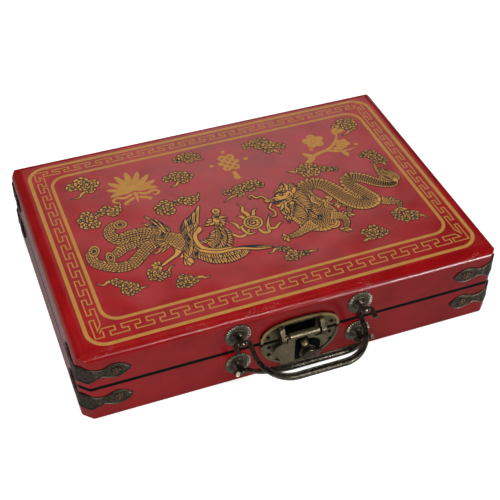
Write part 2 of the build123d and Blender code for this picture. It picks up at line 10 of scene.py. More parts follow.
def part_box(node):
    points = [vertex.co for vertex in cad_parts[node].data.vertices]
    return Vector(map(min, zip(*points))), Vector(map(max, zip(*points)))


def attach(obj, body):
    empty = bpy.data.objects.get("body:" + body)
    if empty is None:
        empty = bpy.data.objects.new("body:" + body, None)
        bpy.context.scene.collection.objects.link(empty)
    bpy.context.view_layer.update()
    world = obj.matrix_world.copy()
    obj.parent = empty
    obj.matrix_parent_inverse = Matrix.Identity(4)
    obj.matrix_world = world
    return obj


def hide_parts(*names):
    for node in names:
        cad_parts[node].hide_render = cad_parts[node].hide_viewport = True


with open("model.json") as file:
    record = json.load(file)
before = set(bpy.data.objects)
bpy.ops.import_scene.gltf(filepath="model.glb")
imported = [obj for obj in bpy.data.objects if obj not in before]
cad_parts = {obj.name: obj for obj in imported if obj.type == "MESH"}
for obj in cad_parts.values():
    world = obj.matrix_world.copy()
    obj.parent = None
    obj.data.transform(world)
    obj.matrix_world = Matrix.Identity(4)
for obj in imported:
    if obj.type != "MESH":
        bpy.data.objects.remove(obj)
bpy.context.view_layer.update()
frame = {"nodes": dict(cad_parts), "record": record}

bl_info = {
    "name": "Mahjong case",
    "version": (1, 0, 0),
    "blender": (4, 5, 0),
    "location": "3D View > Sidebar > Mahjong Case",
    "description": "Dresses the case's solids: printed lid, lacquer, straps, handles, latch",
    "category": "Object",
}

# Sizes below are in millimetres unless they are properties, which are in metres.
MM = 0.001
BODY_OF = {node: body for body, members in frame["record"]["behaviour"]["bodies"].items()
           for node in members}
SLOT_OF = {entry["node"]: entry["material_slot"] for entry in frame["record"]["subparts"]}
COVER_LOW, COVER_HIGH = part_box("lid_cover")
BASE_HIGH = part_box("base_cover")[1]
TOP_Z = COVER_HIGH.z / MM
HALF_X = COVER_HIGH.x / MM
HALF_Y = COVER_HIGH.y / MM


class CaseSizes(bpy.types.PropertyGroup):
    """Sizes of the print and the relief that a user may change."""
    outer_line: bpy.props.FloatProperty(
        name="Outer line", description="Width of the outer gold line", default=3.2 * MM,
        unit="LENGTH")
    inner_line: bpy.props.FloatProperty(
        name="Inner line", description="Width of the inner gold line", default=2.9 * MM,
        unit="LENGTH")
    fret_line: bpy.props.FloatProperty(
        name="Fret line", description="Width of the fret's line", default=1.0 * MM,
        unit="LENGTH")
    ink_outline: bpy.props.FloatProperty(
        name="Ink outline", description="Ink that shows round a gold figure", default=0.85 * MM,
        unit="LENGTH")
    print_layer: bpy.props.FloatProperty(
        name="Print layer", description="Thickness of the print", default=0.06 * MM,
        unit="LENGTH")
    print_step: bpy.props.FloatProperty(
        name="Print step", description="Rise from one stroke to the next over it",
        default=0.0012 * MM, unit="LENGTH")
    strap_relief: bpy.props.FloatProperty(
        name="Strap relief", description="Height of the straps' veins", default=0.45 * MM,
        unit="LENGTH")
    metal_bevel: bpy.props.FloatProperty(
        name="Metal edges", description="Rounding of the fittings' edges", default=0.22 * MM,
        unit="LENGTH")


class CaseColours(bpy.types.PropertyGroup):
    """Colours of the finishes."""
    lacquer: bpy.props.FloatVectorProperty(
        name="Lacquer", description="Red of the cover", default=(0.33, 0.0065, 0.008),
        subtype="COLOR")
    lacquer_dark: bpy.props.FloatVectorProperty(
        name="Lacquer shade", description="Darker red in the cover's clouding",
        default=(0.245, 0.0035, 0.005), subtype="COLOR")
    gold: bpy.props.FloatVectorProperty(
        name="Gold print", description="Gold of the print", default=(0.49, 0.235, 0.052),
        subtype="COLOR")
    ink: bpy.props.FloatVectorProperty(
        name="Ink", description="Ink of the figures' outlines", default=(0.010, 0.012, 0.016),
        subtype="COLOR")
    bronze: bpy.props.FloatVectorProperty(
        name="Bronze", description="Worn high spots of the fittings", default=(0.19, 0.152, 0.112),
        subtype="COLOR")
    patina: bpy.props.FloatVectorProperty(
        name="Patina", description="Dark patina of the fittings", default=(0.024, 0.020, 0.015),
        subtype="COLOR")


def sizes():
    """The sizes that the panel shows."""
    return bpy.context.scene.mahjong_sizes


def colours():
    """The colours that the panel shows."""
    return bpy.context.scene.mahjong_colours


# ---- surfaces -------------------------------------------------------------------
def grid_faces(rows, columns, wrap=False):
    """Quads between neighbouring points of a grid; wrap joins the last column to the first."""
    row, column = np.meshgrid(
        np.arange(rows - 1), np.arange(columns if wrap else columns - 1), indexing="ij")
    after = (column + 1) % columns
    corners = [row * columns + column, row * columns + after,
               (row + 1) * columns + after, (row + 1) * columns + column]
    return np.stack(corners, axis=-1).reshape(-1, 4)


class Patch:
    """Points and faces that gather into one mesh."""

    def __init__(self):
        self.points = []
        self.faces = []
        self.relief = []
        self.count = 0

    def add(self, points, faces, relief=0.0):
        """Take in one surface: its points, its faces, and how high each point stands, 0 to 1."""
        points = np.asarray(points, float).reshape(-1, 3)
        self.points.append(points)
        self.relief.append(np.broadcast_to(np.ravel(relief), (len(points),)))
        self.faces.extend((np.asarray(faces) + self.count).tolist())
        self.count += len(points)

    def add_patch(self, other):
        """Take in all of another patch."""
        self.points.extend(other.points)
        self.relief.extend(other.relief)
        self.faces.extend([corner + self.count for corner in face] for face in other.faces)
        self.count += other.count


def place_in_scene(name, data):
    """New object in the scene."""
    made = bpy.data.objects.new(name, data)
    bpy.context.scene.collection.objects.link(made)
    return made


def make_piece(name, patch, look, body, merge=0.0, smooth=True):
    """One object from a patch given in millimetres, riding on a body."""
    mesh = bpy.data.meshes.new(name)
    points = np.concatenate(patch.points) * MM
    mesh.from_pydata(points.tolist(), [], patch.faces)
    relief = mesh.attributes.new("relief", "FLOAT", "POINT")
    relief.data.foreach_set("value", np.concatenate(patch.relief).astype(np.float32))
    mesh.validate()
    if merge:
        shape = bmesh.new()
        shape.from_mesh(mesh)
        bmesh.ops.remove_doubles(shape, verts=shape.verts, dist=merge * MM)
        bmesh.ops.dissolve_degenerate(shape, edges=shape.edges, dist=merge * MM / 10)
        bmesh.ops.recalc_face_normals(shape, faces=shape.faces)
        shape.to_mesh(mesh)
        shape.free()
    mesh.polygons.foreach_set("use_smooth", [smooth] * len(mesh.polygons))
    mesh.materials.append(finish(look))
    piece = place_in_scene(name, mesh)
    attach(piece, body)
    return piece


MERGE = 2e-6          # metres between points that become one
FLAT_ANGLE = 0.5      # degrees between faces that become one
SMOOTH_ANGLE = 35.0   # degrees; edges stay smooth up to here


def finished_copy(node_name, look, bevel=0.0, angle=SMOOTH_ANGLE):
    """Merged copy of a node with rounded edges and smooth faces, which replaces the node."""
    mesh = frame["nodes"][node_name].data.copy()
    mesh.name = node_name + "_finished"
    shape = bmesh.new()
    shape.from_mesh(mesh)
    bmesh.ops.remove_doubles(shape, verts=shape.verts, dist=MERGE)
    bmesh.ops.dissolve_limit(
        shape, angle_limit=math.radians(FLAT_ANGLE), verts=shape.verts, edges=shape.edges)
    shape.to_mesh(mesh)
    shape.free()
    mesh.polygons.foreach_set("use_smooth", [True] * len(mesh.polygons))
    mesh.set_sharp_from_angle(angle=math.radians(angle))
    mesh.materials.clear()
    mesh.materials.append(finish(look))
    piece = place_in_scene(node_name + "_finished", mesh)
    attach(piece, BODY_OF[node_name])
    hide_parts(node_name)
    if bevel:
        edge = piece.modifiers.new("edges", "BEVEL")
        edge.width = bevel
        edge.segments = 2
        edge.limit_method = "ANGLE"
        edge.angle_limit = math.radians(angle)
        edge.harden_normals = True


def paint(node_name, look):
    """Give a node that keeps its own shape a finish."""
    mesh = frame["nodes"][node_name].data
    mesh.materials.clear()
    mesh.materials.append(finish(look))


# ---- drawing on the lid -----------------------------------------------------------
FOOT = 0.02           # how far the print's bars reach into the cover
ROW_STEPS = 5         # heights that the strokes of one row share out among them
PEN = 1.4             # ink lines' width against the drawing's own
BEND_SHARE = 0.9      # of a bend's radius that a bar's inner edge may take up
THIN_END = 0.004      # square of what a tapered line's width ends at, as a share
HALO_LEAD = 0.8       # outlines that a halo runs on beyond its bar's ends
HALO_TIP = 0.35       # share of the halo's width that is left there
DISC_START = 0.12     # radians from a spot's left rim to the first chord of its bar
CURL_DEPTH = 0.85     # share of its radius that a curl winds inward
SCALE_BULGE = 0.85    # share of the pitch that a scale's middle reaches forward


def unit(vector):
    """The vectors' directions."""
    return vector / np.maximum(np.linalg.norm(vector, axis=-1, keepdims=True), 1e-9)


def round_about(x, y, reach, angle):
    """Points at a distance from a middle, at the given angles."""
    return np.stack([x + reach * np.cos(angle), y + reach * np.sin(angle)], axis=-1)


def left_of(direction):
    """Directions a quarter turn to the left."""
    return np.stack([-direction[..., 1], direction[..., 0]], axis=-1)


def smooth_curve(points, count):
    """Catmull-Rom curve through the points: each stretch blends its four nearest points."""
    points = np.asarray(points, float)
    ends = 2 * points[:1] - points[1:2], 2 * points[-1:] - points[-2:-1]
    padded = np.concatenate([ends[0], points, ends[1]])
    place = np.linspace(0, len(points) - 1, count)
    index = np.minimum(place.astype(int), len(points) - 2)
    u = (place - index)[:, None]
    a, b, c, d = (padded[index + step] for step in range(4))
    return 0.5 * (2 * b + (c - a) * u + (2 * a - 5 * b + 4 * c - d) * u ** 2
                  + (3 * b - a - 3 * c + d) * u ** 3)


def bands(paths, half_widths, heights):
    """Closed flat bars on the cover: each path's points moved left and right along its normal.

    paths is (bars, points, 2); half_widths and heights broadcast to (bars, points). On the
    inner side of a bend the width stops short of the bend's centre, so no bar folds.
    """
    paths = np.asarray(paths, float)
    number, count = paths.shape[:2]
    tangent = unit(np.gradient(paths, axis=1))
    normal = left_of(tangent)
    turn = np.zeros((number, count))
    step = np.linalg.norm(np.diff(paths, axis=1), axis=2)
    bend = tangent[:, :-1, 0] * tangent[:, 1:, 1] - tangent[:, :-1, 1] * tangent[:, 1:, 0]
    bend = bend / np.maximum(step, 1e-6)
    turn[:, :-1] = bend
    turn[:, 1:] = np.where(np.abs(turn[:, 1:]) > np.abs(bend), turn[:, 1:], bend)
    width = np.broadcast_to(half_widths, (number, count))
    left, right = (np.minimum(width, BEND_SHARE / np.maximum(inward, 1e-6))[..., None] * normal
                   for inward in (turn, -turn))
    flat = np.stack([paths + left, paths - right, paths - right, paths + left], axis=2)
    top = np.broadcast_to(heights, (number, count))
    foot = np.full((number, count), TOP_Z - FOOT)
    rise = np.stack([top, top, foot, foot], axis=2)
    points = np.concatenate([flat, rise[..., None]], axis=-1)
    ring = np.arange(4)
    start = 4 * (np.arange(number)[:, None] * count + np.arange(count - 1)[None, :])[..., None]
    after = (ring + 1) % 4
    sides = np.stack([start + ring, start + after, start + after + 4, start + ring + 4], axis=-1)
    first = 4 * count * np.arange(number)[:, None]
    caps = np.concatenate([first + [0, 3, 2, 1], first + 4 * (count - 1) + [0, 1, 2, 3]])
    return points.reshape(-1, 3), np.concatenate([sides.reshape(-1, 4), caps])


class Print:
    """A figure of the print: gold over ink halos, each stroke a hair above the one before."""

    def __init__(self):
        self.gold = Patch()
        self.ink = Patch()
        self.outline = sizes().ink_outline / MM
        self.step = sizes().print_step / MM
        self.top = TOP_Z + sizes().print_layer / MM

    def rise(self, number=1):
        """Heights of the next strokes as a column; a long row repeats its first few steps."""
        heights = self.top + self.step * (1 + np.arange(number) % ROW_STEPS)
        self.top = heights.max()
        return heights[:, None]

    def halo(self, paths, widths, heights):
        """Ink round gold bars: wider by the outline, and longer by it at both ends."""
        paths = np.asarray(paths, float)
        lead = HALO_LEAD * self.outline
        first = paths[:, :1] - lead * unit(paths[:, 1:2] - paths[:, :1])
        last = paths[:, -1:] + lead * unit(paths[:, -1:] - paths[:, -2:-1])
        widths = np.broadcast_to(widths, paths.shape[:2]) + self.outline
        widths = np.concatenate([HALO_TIP * widths[:, :1], widths, HALO_TIP * widths[:, -1:]],
                                axis=1)
        heights = np.broadcast_to(heights, paths.shape[:2])
        heights = np.concatenate([heights[:, :1], heights, heights[:, -1:]], axis=1)
        self.ink.add(*bands(np.concatenate([first, paths, last], axis=1), widths,
                            heights - 0.5 * self.step))

    def line(self, points, half_width=1.0, gold=False, start=0.0, end=0.0, count=None,
             halo=False):
        """One brush line through the points; start and end are the shares that taper."""
        points = np.asarray(points, float)
        count = count or 6 * (len(points) - 1) + 1
        path = smooth_curve(points, count)
        u = np.linspace(0, 1, count)
        width = np.ones(count)
        for taper, distance in ((start, u), (end, 1 - u)):
            if taper:
                width *= np.sqrt(np.clip(distance / taper, THIN_END, 1))
        width = width * (path[:, 2] if points.shape[1] == 3 else half_width)
        height = self.rise()
        if not gold:
            width = PEN * width
        target = self.gold if gold else self.ink
        target.add(*bands(path[None, :, :2], width[None], height))
        if halo:
            self.halo(path[None, :, :2], width[None], height)
        return path[:, :2]

    def stroke(self, points, end, start=0.05, count=None):
        """Gold stroke with an ink halo; each point carries its half-width."""
        return self.line(points, 1.0, True, start, end, count, halo=True)

    def discs(self, centres, radii, gold=True, halo=True, count=9):
        """Round spots as bars across circles: half-widths are the chords."""
        centres = np.asarray(centres, float)
        radii = np.broadcast_to(radii, (len(centres),))[:, None]
        heights = self.rise(len(centres))
        angle = np.linspace(DISC_START, math.pi - DISC_START, count)[None]
        for extra, lower, target in ((0.0, 0.0, self.gold if gold else self.ink),
                                     (self.outline, 0.5 * self.step, self.ink)):
            if extra and not halo:
                continue
            size = radii + extra
            x = centres[:, :1] - size * np.cos(angle)
            y = np.broadcast_to(centres[:, 1:], x.shape)
            target.add(*bands(np.stack([x, y], axis=-1), size * np.sin(angle),
                              heights - lower))

    def disc(self, x, y, radius, gold=True, halo=True):
        """One round spot."""
        self.discs([(x, y)], radius, gold, halo, 13)

    def leaves(self, roots, tips, half_width, bow=0.0, blunt=2.0, halo=True, gold=True, count=8,
               heights=None):
        """Leaves from roots to tips, each over the one before.

        The half-width follows 1 - |2u - 1| to the power blunt, square-rooted, so a blunt
        above 2 gives round ends; bow bends each leaf aside by a share of its length.
        """
        roots, tips = np.asarray(roots, float), np.asarray(tips, float)
        u = np.linspace(0.0, 1.0, count)[None, :, None]
        chord = (tips - roots)[:, None]
        bow = np.broadcast_to(bow, (len(roots),))[:, None, None]
        paths = roots[:, None] + u * chord + 4 * u * (1 - u) * bow * left_of(chord)
        shape = np.sqrt(np.clip(1 - np.abs(2 * u[..., 0] - 1) ** blunt, 0.01, 1))
        width = np.broadcast_to(half_width, (len(roots),))[:, None] * shape
        heights = self.rise(len(roots)) if heights is None else heights
        (self.gold if gold else self.ink).add(*bands(paths, width, heights))
        if halo:
            self.halo(paths, width, heights)

    def tuft(self, centre, angles, reach, half_width, bow=0.0, start=0.0, **more):
        """Leaves that spread from a centre at angles in degrees, each as long as its reach."""
        angles = np.radians(np.asarray(angles, float))
        reach = np.broadcast_to(reach, angles.shape)
        roots, tips = (round_about(*centre, distance, angles) for distance in (start, reach))
        self.leaves(roots, tips, half_width, bow, **more)

    def spiral(self, x, y, radius, turns, angle, hand, half_width):
        """Ink curl that winds in from its rim: the radius falls evenly as the angle grows."""
        u = np.linspace(0, 1, int(10 * turns) + 3)
        reach = radius * (1 - CURL_DEPTH * u)
        sweep = angle + hand * 2 * math.pi * turns * u
        self.line(round_about(x, y, reach, sweep), half_width, start=0.1, end=0.1, count=len(u))

    def pieces(self, name, gold_look):
        """Make the figure's gold and ink objects, or one of them where the other is empty."""
        for word, patch, look in (("gold", self.gold, gold_look), ("ink", self.ink, "ink_print")):
            if patch.points:
                make_piece(f"{name}_{word}", patch, look, "lid", smooth=False)


class Spine:
    """A figure's middle line, with places along it in millimetres and across it in shares.

    Its height falls evenly from its start, so where it passes itself the start lies on top.
    """

    def __init__(self, points, count=400, base=0.0, slope=0.0):
        self.path = smooth_curve(points, count)
        step = np.linalg.norm(np.diff(self.path[:, :2], axis=0), axis=1)
        self.along = np.concatenate([[0], np.cumsum(step)])
        self.length = self.along[-1]
        self.base, self.slope = base, slope
        self.normal = left_of(unit(np.gradient(self.path[:, :2], axis=0)))

    def height(self, s):
        """Height of the figure's top at a distance along it."""
        return self.base + self.slope * (self.length - np.asarray(s, float))

    def at(self, s, t):
        """Point at distance s, moved across by t times the half-width."""
        s, t = np.broadcast_arrays(np.asarray(s, float), np.asarray(t, float))
        base, side = (np.stack([np.interp(s, self.along, table[:, axis]) for axis in (0, 1)], -1)
                      for table in (self.path, self.normal))
        width = np.interp(s, self.along, self.path[:, 2])
        return base + side * (t * width)[..., None]

    def draw(self, figure):
        """The whole figure as one gold bar in its halo."""
        paths = self.path[None, :, :2]
        heights = self.height(self.along)[None]
        figure.gold.add(*bands(paths, self.path[None, :, 2], heights))
        figure.halo(paths, self.path[None, :, 2], heights)
        figure.top = max(figure.top, self.height(0.0))


def scales(figure, spine, reach, pitch, rows, half_width, across=(-0.95, 0.95)):
    """Rows of small curved ink lines along a body, each row shifted by half a scale."""
    low, high = across
    s = np.arange(*reach, pitch)
    slot = (high - low) / rows
    t = low + slot * (np.arange(rows) + 0.5)
    s_grid, t_grid = np.meshgrid(s, t, indexing="ij")
    t_grid = t_grid + (np.arange(len(s)) % 2)[:, None] * slot / 2
    keep = (t_grid + slot / 2) <= high + 1e-6
    s_flat = s_grid[keep][:, None]
    t_flat = t_grid[keep][:, None]
    u = np.linspace(-1, 1, 5)[None, :]
    arcs = spine.at(s_flat + SCALE_BULGE * pitch * (1 - u ** 2), t_flat + u * slot / 2)
    width = half_width * (0.5 + 0.5 * (1 - u ** 2))
    figure.ink.add(*bands(arcs, width, spine.height(s_flat) + 0.25 * figure.step))


# ---- border -----------------------------------------------------------------------
OUTER_LINE = ((0.3, -1.25), (166.5, 113.85), 15.5)    # middle, half size and corner radius
INNER_LINE = ((0.98, 1.55), (150.2, 93.75), 14.0)
CORNER_POINTS = 14                # points on each line's quarter circles
BORDER_STEP = 0.004               # keeps crossing lines of the border apart
FRET_SHIFT = 0.5                  # inner bars start this share of a period after outer ones
# Figures that join the left and right fret to its corners, as (place along the side, level),
# with level 0 outside and 1 inside.
SIDE_LEAD = ((-107.2, 0.0), (-87.2, 0.0), (-87.2, 0.5), (-99.1, 0.5), (-93.6, 1.0),
             (-75.3, 1.0), (-75.3, 0.5), (-81.1, 0.5))
SIDE_TRAIL = ((91.3, 0.0), (91.3, 0.5), (87.2, 0.5), (87.2, 1.0), (98.5, 1.0), (101.0, 0.5),
              (95.5, 0.5), (95.5, 0.0), (107.6, 0.0))
# One row per side: does it run along X, outer and inner level, first bar's start, period,
# number of periods, bar's share of a period; then the figures at its two corners.
FRET_SIDES = (
    (True, -107.2, -98.2, -148.2, 19.94, 14, 0.735,
     ((-156.4, 0.5), (-153.5, 1.0), (-143.6, 1.0), (-143.6, 0.5), (-148.2, 0.5)),
     ((145.6, 0.0), (145.6, 0.5), (140.9, 0.5), (140.9, 1.0), (152.7, 1.0), (155.5, 0.5),
      (148.3, 0.5), (148.3, 0.0), (161.8, 0.0))),
    (True, 107.6, 101.1, -143.8, 19.94, 14, 0.735,
     ((-161.1, 0.0), (-148.5, 0.0), (-148.5, 0.5), (-152.9, 0.5), (-152.9, 1.0),
      (-138.4, 1.0), (-138.4, 0.5), (-143.8, 0.5)),
     ((150.0, 0.0), (150.0, 0.5), (145.2, 0.5), (145.2, 1.0), (154.6, 1.0), (154.6, 0.5),
      (152.3, 0.15))),
    (False, -160.6, -153.4, -81.1, 22.8, 7, 0.765, SIDE_LEAD, SIDE_TRAIL),
    (False, 161.3, 155.3, -81.1, 22.8, 7, 0.765, SIDE_LEAD, SIDE_TRAIL))
# Lone hooks: one in front at a corner of the first side, one behind at a corner of the second.
CORNER_HOOKS = (((-161.1, 0.0), (-153.6, 0.0), (-153.6, 0.69)), ((161.8, 0.0), (156.5, 0.0)))
LEAN = 0.0044                     # how far the stamp leans sideways per millimetre of depth
RISE = 0.0080                     # how far its right end sits back per millimetre of width
SPREAD = 0.000037                 # and how much less so towards the back


def rounded_rectangle(middle, half_size, radius):
    """Closed path: four straight sides joined by quarter circles."""
    quarter = np.linspace(0, math.pi / 2, CORNER_POINTS)
    corners = []
    for number, (sx, sy) in enumerate(((1, 1), (-1, 1), (-1, -1), (1, -1))):
        angle = quarter + number * math.pi / 2
        corners.append(round_about(sx * (half_size[0] - radius), sy * (half_size[1] - radius),
                                   radius, angle))
    return np.concatenate(corners + [corners[0][:1]]) + middle


def askew(points):
    """The stamp sits slightly turned on the lid, and wider in front than behind."""
    x, y, z = points.T
    return np.stack([x - LEAN * y, y + x * (RISE - SPREAD * y), z], axis=-1)


def ribbon(path, aside, height):
    """Flat strip: the path's points moved to both sides, at one height, on the lid."""
    flat = np.stack([path + aside, path - aside], axis=1)
    points = np.concatenate([flat, np.full(flat.shape[:2] + (1,), height)], axis=-1)
    return askew(points.reshape(-1, 3)), grid_faces(len(path), 2)


def closed_band(path, half_width, height):
    """Band along a closed path whose last point repeats its first."""
    before = np.concatenate([path[-2:-1], path[:-1]])
    after = np.concatenate([path[1:], path[1:2]])
    return ribbon(path, half_width * left_of(unit(after - before)), height)


def mitred_band(path, half_width, height):
    """Band along a path of straight stretches, its edges meeting on each corner's bisector."""
    path = np.asarray(path, float)
    normal = left_of(unit(np.diff(path, axis=0)))
    bisector = np.concatenate([normal[:1], normal]) + np.concatenate([normal, normal[-1:]])
    reach = 2 * half_width / np.sum(bisector * bisector, axis=1, keepdims=True)
    return ribbon(path, reach * bisector, height)


def fret_run(start, pitch, periods, share):
    """Running fret: bar outside, half in, step back, in, bar inside, and out again."""
    bar = share * pitch
    shift = FRET_SHIFT * pitch
    period = np.array([(0, 0), (bar, 0), (bar, 0.5), (shift, 0.5), (shift, 1),
                       (shift + bar, 1), (shift + bar, 0.5), (pitch, 0.5)])
    run = period[None] + np.arange(periods)[:, None, None] * np.array([pitch, 0.0])
    run = run.reshape(-1, 2) + [start, 0]
    return np.concatenate([run, [(start + periods * pitch, 0)]])


def fret_place(points, along_x, outer, inner):
    """Places on the lid of (place along the side, level) points."""
    points = np.asarray(points, float)
    level = outer + (inner - outer) * points[:, 1]
    return np.stack([points[:, 0], level] if along_x else [level, points[:, 0]], axis=-1)


def border_patch():
    """Two rounded lines, and between them the fret with its figures at the corners."""
    case = sizes()
    patch = Patch()
    height = TOP_Z + case.print_layer / MM
    for shape, width in ((OUTER_LINE, case.outer_line), (INNER_LINE, case.inner_line)):
        patch.add(*closed_band(rounded_rectangle(*shape), width / MM / 2, height))
    line = case.fret_line / MM / 2
    for along_x, outer, inner, start, pitch, periods, share, lead, trail in FRET_SIDES:
        points = np.concatenate([lead, fret_run(start, pitch, periods, share), trail])
        lift = BORDER_STEP if along_x else 0
        patch.add(*mitred_band(fret_place(points, along_x, outer, inner), line, height + lift))
    for hook, (along_x, outer, inner, *_) in zip(CORNER_HOOKS, FRET_SIDES):
        patch.add(*mitred_band(fret_place(hook, along_x, outer, inner), line,
                               height + 2 * BORDER_STEP))
    return patch
# ---- clouds -----------------------------------------------------------------------
# Each cloud: its puffs as (x, y, radius) and its tails as points, in millimetres.
CLOUDS = (
    (((-133.5, 76.5, 5.5), (-119, 68, 4.8), (-124, 81, 7.0), (-114.5, 75.5, 5.8),
      (-123.5, 73.5, 5.4)),
     (((-121, 67.5), (-127.5, 64.5), (-130.5, 60.5), (-137.5, 60.2)),)),
    (((-34, 82.3, 3.8), (-16, 81.5, 3.8), (-27.5, 84.5, 5.4), (-20.5, 84, 5.0), (-24, 78.8, 4.4)),
     (((-21, 78), (-16, 76.8), (-11, 75)),)),
    (((33, 80, 4.2), (49.5, 67, 4.2), (63, 69.5, 4.2), (41.5, 82.5, 5.4), (49.5, 83, 5.0),
      (44, 76, 4.8), (57, 72.5, 4.8), (52.5, 75, 6.0)),
     (((53, 68), (56.5, 63), (58, 58)),)),
    (((124.5, 79.5, 5.0), (136, 72.5, 4.2), (132, 84, 5.6), (139, 84, 4.8), (139, 78, 5.4),
      (133, 77, 5.2)),
     (((134, 71), (130, 67), (123, 64.5)),)),
    (((-50.5, 58.5, 4.6), (-37.5, 52, 4.4), (-31.5, 56, 4.0), (-43, 61, 5.4), (-36, 59.5, 5.2),
      (-41, 55.5, 4.6)),
     (((-43, 51), (-46, 47.5), (-51.5, 46.5)),)),
    (((-131, 34.5, 5.2), (-135.5, 28.5, 5.0), (-134, 22.5, 5.6), (-127, 21, 5.4),
      (-119.5, 33, 3.8), (-128, 28, 5.2), (-104, 34, 4.4), (-113, 35.5, 5.4), (-108.5, 31, 5.6)),
     (((-104, 34), (-100, 37.5), (-99.5, 43)),)),
    (((-63, 26.5, 5.0), (-69, 22, 4.8), (-68.5, 17.5, 4.6), (-62, 15.5, 5.2), (-54, 24, 3.8),
      (-62, 21, 5.0), (-37, 24, 4.2), (-46.5, 25.5, 5.0), (-42, 21.8, 5.4)),
     (((-38, 24), (-32.5, 26.5), (-31, 31)),)),
    (((-7, 22, 3.6), (3, 17, 4.4), (24, 22, 3.6), (14, 20.5, 4.2), (0, 22, 4.2), (10, 22, 3.6),
      (20, 26.5, 4.8), (5, 24.5, 4.4), (14, 26, 4.8)),
     (((3, 15.5), (-5, 15.2), (-14, 10.5)),)),
    (((95, 20.5, 3.2), (90, 22.5, 3.8), (84, 25, 4.4), (66, 28.5, 5.0), (69, 23, 5.2),
      (77, 30, 5.0), (71, 31.5, 5.2), (76, 22.8, 5.8)),
     (((63, 26), (57.5, 30), (53, 30.5)),)),
    (((128, 30, 3.4), (143, 17, 3.6), (137, 17, 3.6), (138, 30, 4.0), (133, 31.5, 4.2),
      (140, 22, 4.4), (135, 25, 4.2)),
     (((138, 15.5), (141, 12), (142, 8.5)),)),
    (((-129, -53.5, 4.0), (-116, -68, 3.4), (-121.5, -69.5, 3.6), (-126.5, -57, 4.0),
      (-117, -64.5, 4.4), (-123.5, -66, 4.4), (-121.5, -60.5, 4.4)),
     (((-130, -54), (-135, -51.5), (-139, -54), (-144.5, -51)),
      ((-116, -67), (-112, -67.5), (-106.5, -67.5)))),
    (((-88, -59, 3.2), (-95, -62, 3.4), (-99.5, -59, 3.8), (-98.5, -53, 4.4), (-92, -59.5, 4.0),
      (-94.5, -56, 4.4)),
     (((-90, -58), (-86, -59), (-84.5, -54), (-79, -51)),)),
    (((-81.5, -75, 3.4), (-69.5, -73.5, 3.8), (-77, -67.5, 3.8), (-76, -76.5, 3.8),
      (-79, -71.5, 4.0), (-73, -71.5, 4.4)),
     (((-68, -72), (-63, -71.5), (-60, -74), (-56, -73.5)),)),
    (((27, -74.5, 2.8), (22, -74, 3.6), (10, -63, 3.2), (14, -65.5, 3.6), (15.5, -77, 3.2),
      (12, -75, 3.6), (16.5, -71, 4.4)),
     (((10, -63), (5, -61.5), (2, -64), (-2, -64.5)), ((27, -75), (32, -74), (38, -74.5)))),
    (((99, -73, 4.0), (84.5, -68.5, 4.2), (86, -75, 3.8), (93, -75.5, 3.8), (96.5, -69.5, 3.6),
      (92.5, -65.5, 4.0), (90.5, -70.5, 4.6)),
     (((85, -76), (80, -77.5), (77.5, -78)),)),
    (((119, -55, 3.8), (119, -60, 3.8), (132, -65, 3.6), (124, -64, 4.2), (134, -60.5, 4.0),
      (128.5, -60, 4.6)),
     (((134, -61), (138, -64), (143, -69)),)))


# A puff's parts as shares of its radius: how far out they sit, then their own radius.
LOBES = (0.56, 0.46)
HOLLOWS = (0.62, 0.15)
MIDDLE_SHARE = 0.44
CURL_SHARE = 0.34
LARGE_PUFF = 4.5          # a puff wider than this has six lobes, a smaller one five


def draw_cloud(figure, puffs, tails):
    """Heaped puffs, each a ring of round lobes about a curl, and wavy tails."""
    base = figure.top
    for tail in tails:
        count = len(tail)
        figure.stroke([tuple(point) + (1.5 - 1.2 * k / (count - 1),)
                       for k, point in enumerate(tail)], end=0.4)
    for number, (x, y, radius) in enumerate(puffs):
        lobes = 6 if radius > LARGE_PUFF else 5
        angle = 0.7 * number + np.arange(lobes) * 2 * math.pi / lobes
        figure.discs(round_about(x, y, LOBES[0] * radius, angle), LOBES[1] * radius)
        figure.discs(round_about(x, y, HOLLOWS[0] * radius, angle + 0.35), HOLLOWS[1] * radius,
                     gold=False, halo=False, count=6)
        figure.disc(x, y, MIDDLE_SHARE * radius)
        figure.spiral(x, y, CURL_SHARE * radius, turns=1.1, angle=0.9 * number,
                      hand=1 if number % 2 else -1, half_width=0.42)
    figure.top = base


def draw_clouds(figure):
    """All the scattered clouds."""
    for cloud in CLOUDS:
        draw_cloud(figure, *cloud)


# ---- dragon -----------------------------------------------------------------------
DRAGON_BODY = (
    (43.0, -5.0, 6.0), (40.5, -17.0, 7.6), (41.0, -30.0, 8.2), (46.5, -42.5, 8.2),
    (57.0, -46.5, 8.4), (64.5, -38.0, 8.0), (62.5, -23.0, 7.4), (57.0, -9.0, 6.6),
    (58.5, 3.0, 6.4), (67.0, 7.5, 6.2), (76.5, 1.5, 6.4), (82.5, -11.0, 6.6),
    (88.5, -25.0, 7.0), (98.0, -33.5, 7.2), (108.5, -31.0, 7.4), (104.5, -17.5, 6.6),
    (98.8, -4.0, 6.0), (102.5, 4.0, 5.6), (112.0, -0.5, 5.4), (121.0, -10.0, 4.8),
    (129.5, -16.5, 3.8), (136.5, -17.5, 2.9), (140.5, -11.0, 1.9))
DRAGON_LEGS = (
    ((115.0, -34.0, 4.8), (121.0, -39.5, 3.0), (128.0, -42.0, 2.2), (126.5, -48.5, 1.7)),
    ((92.0, -30.0, 3.6), (85.5, -34.5, 2.4), (83.5, -37.5, 1.9), (82.5, -39.5, 1.5)),
    ((87.5, -24.0, 3.4), (83.0, -29.0, 2.2), (80.5, -28.0, 1.7)),
    ((66.0, -38.0, 5.2), (74.0, -42.5, 3.6), (75.5, -49.5, 2.5), (72.0, -56.5, 1.9)),
    ((48.0, -43.0, 6.0), (38.5, -47.0, 4.2), (30.0, -50.5, 3.0), (22.0, -51.5, 2.1)))
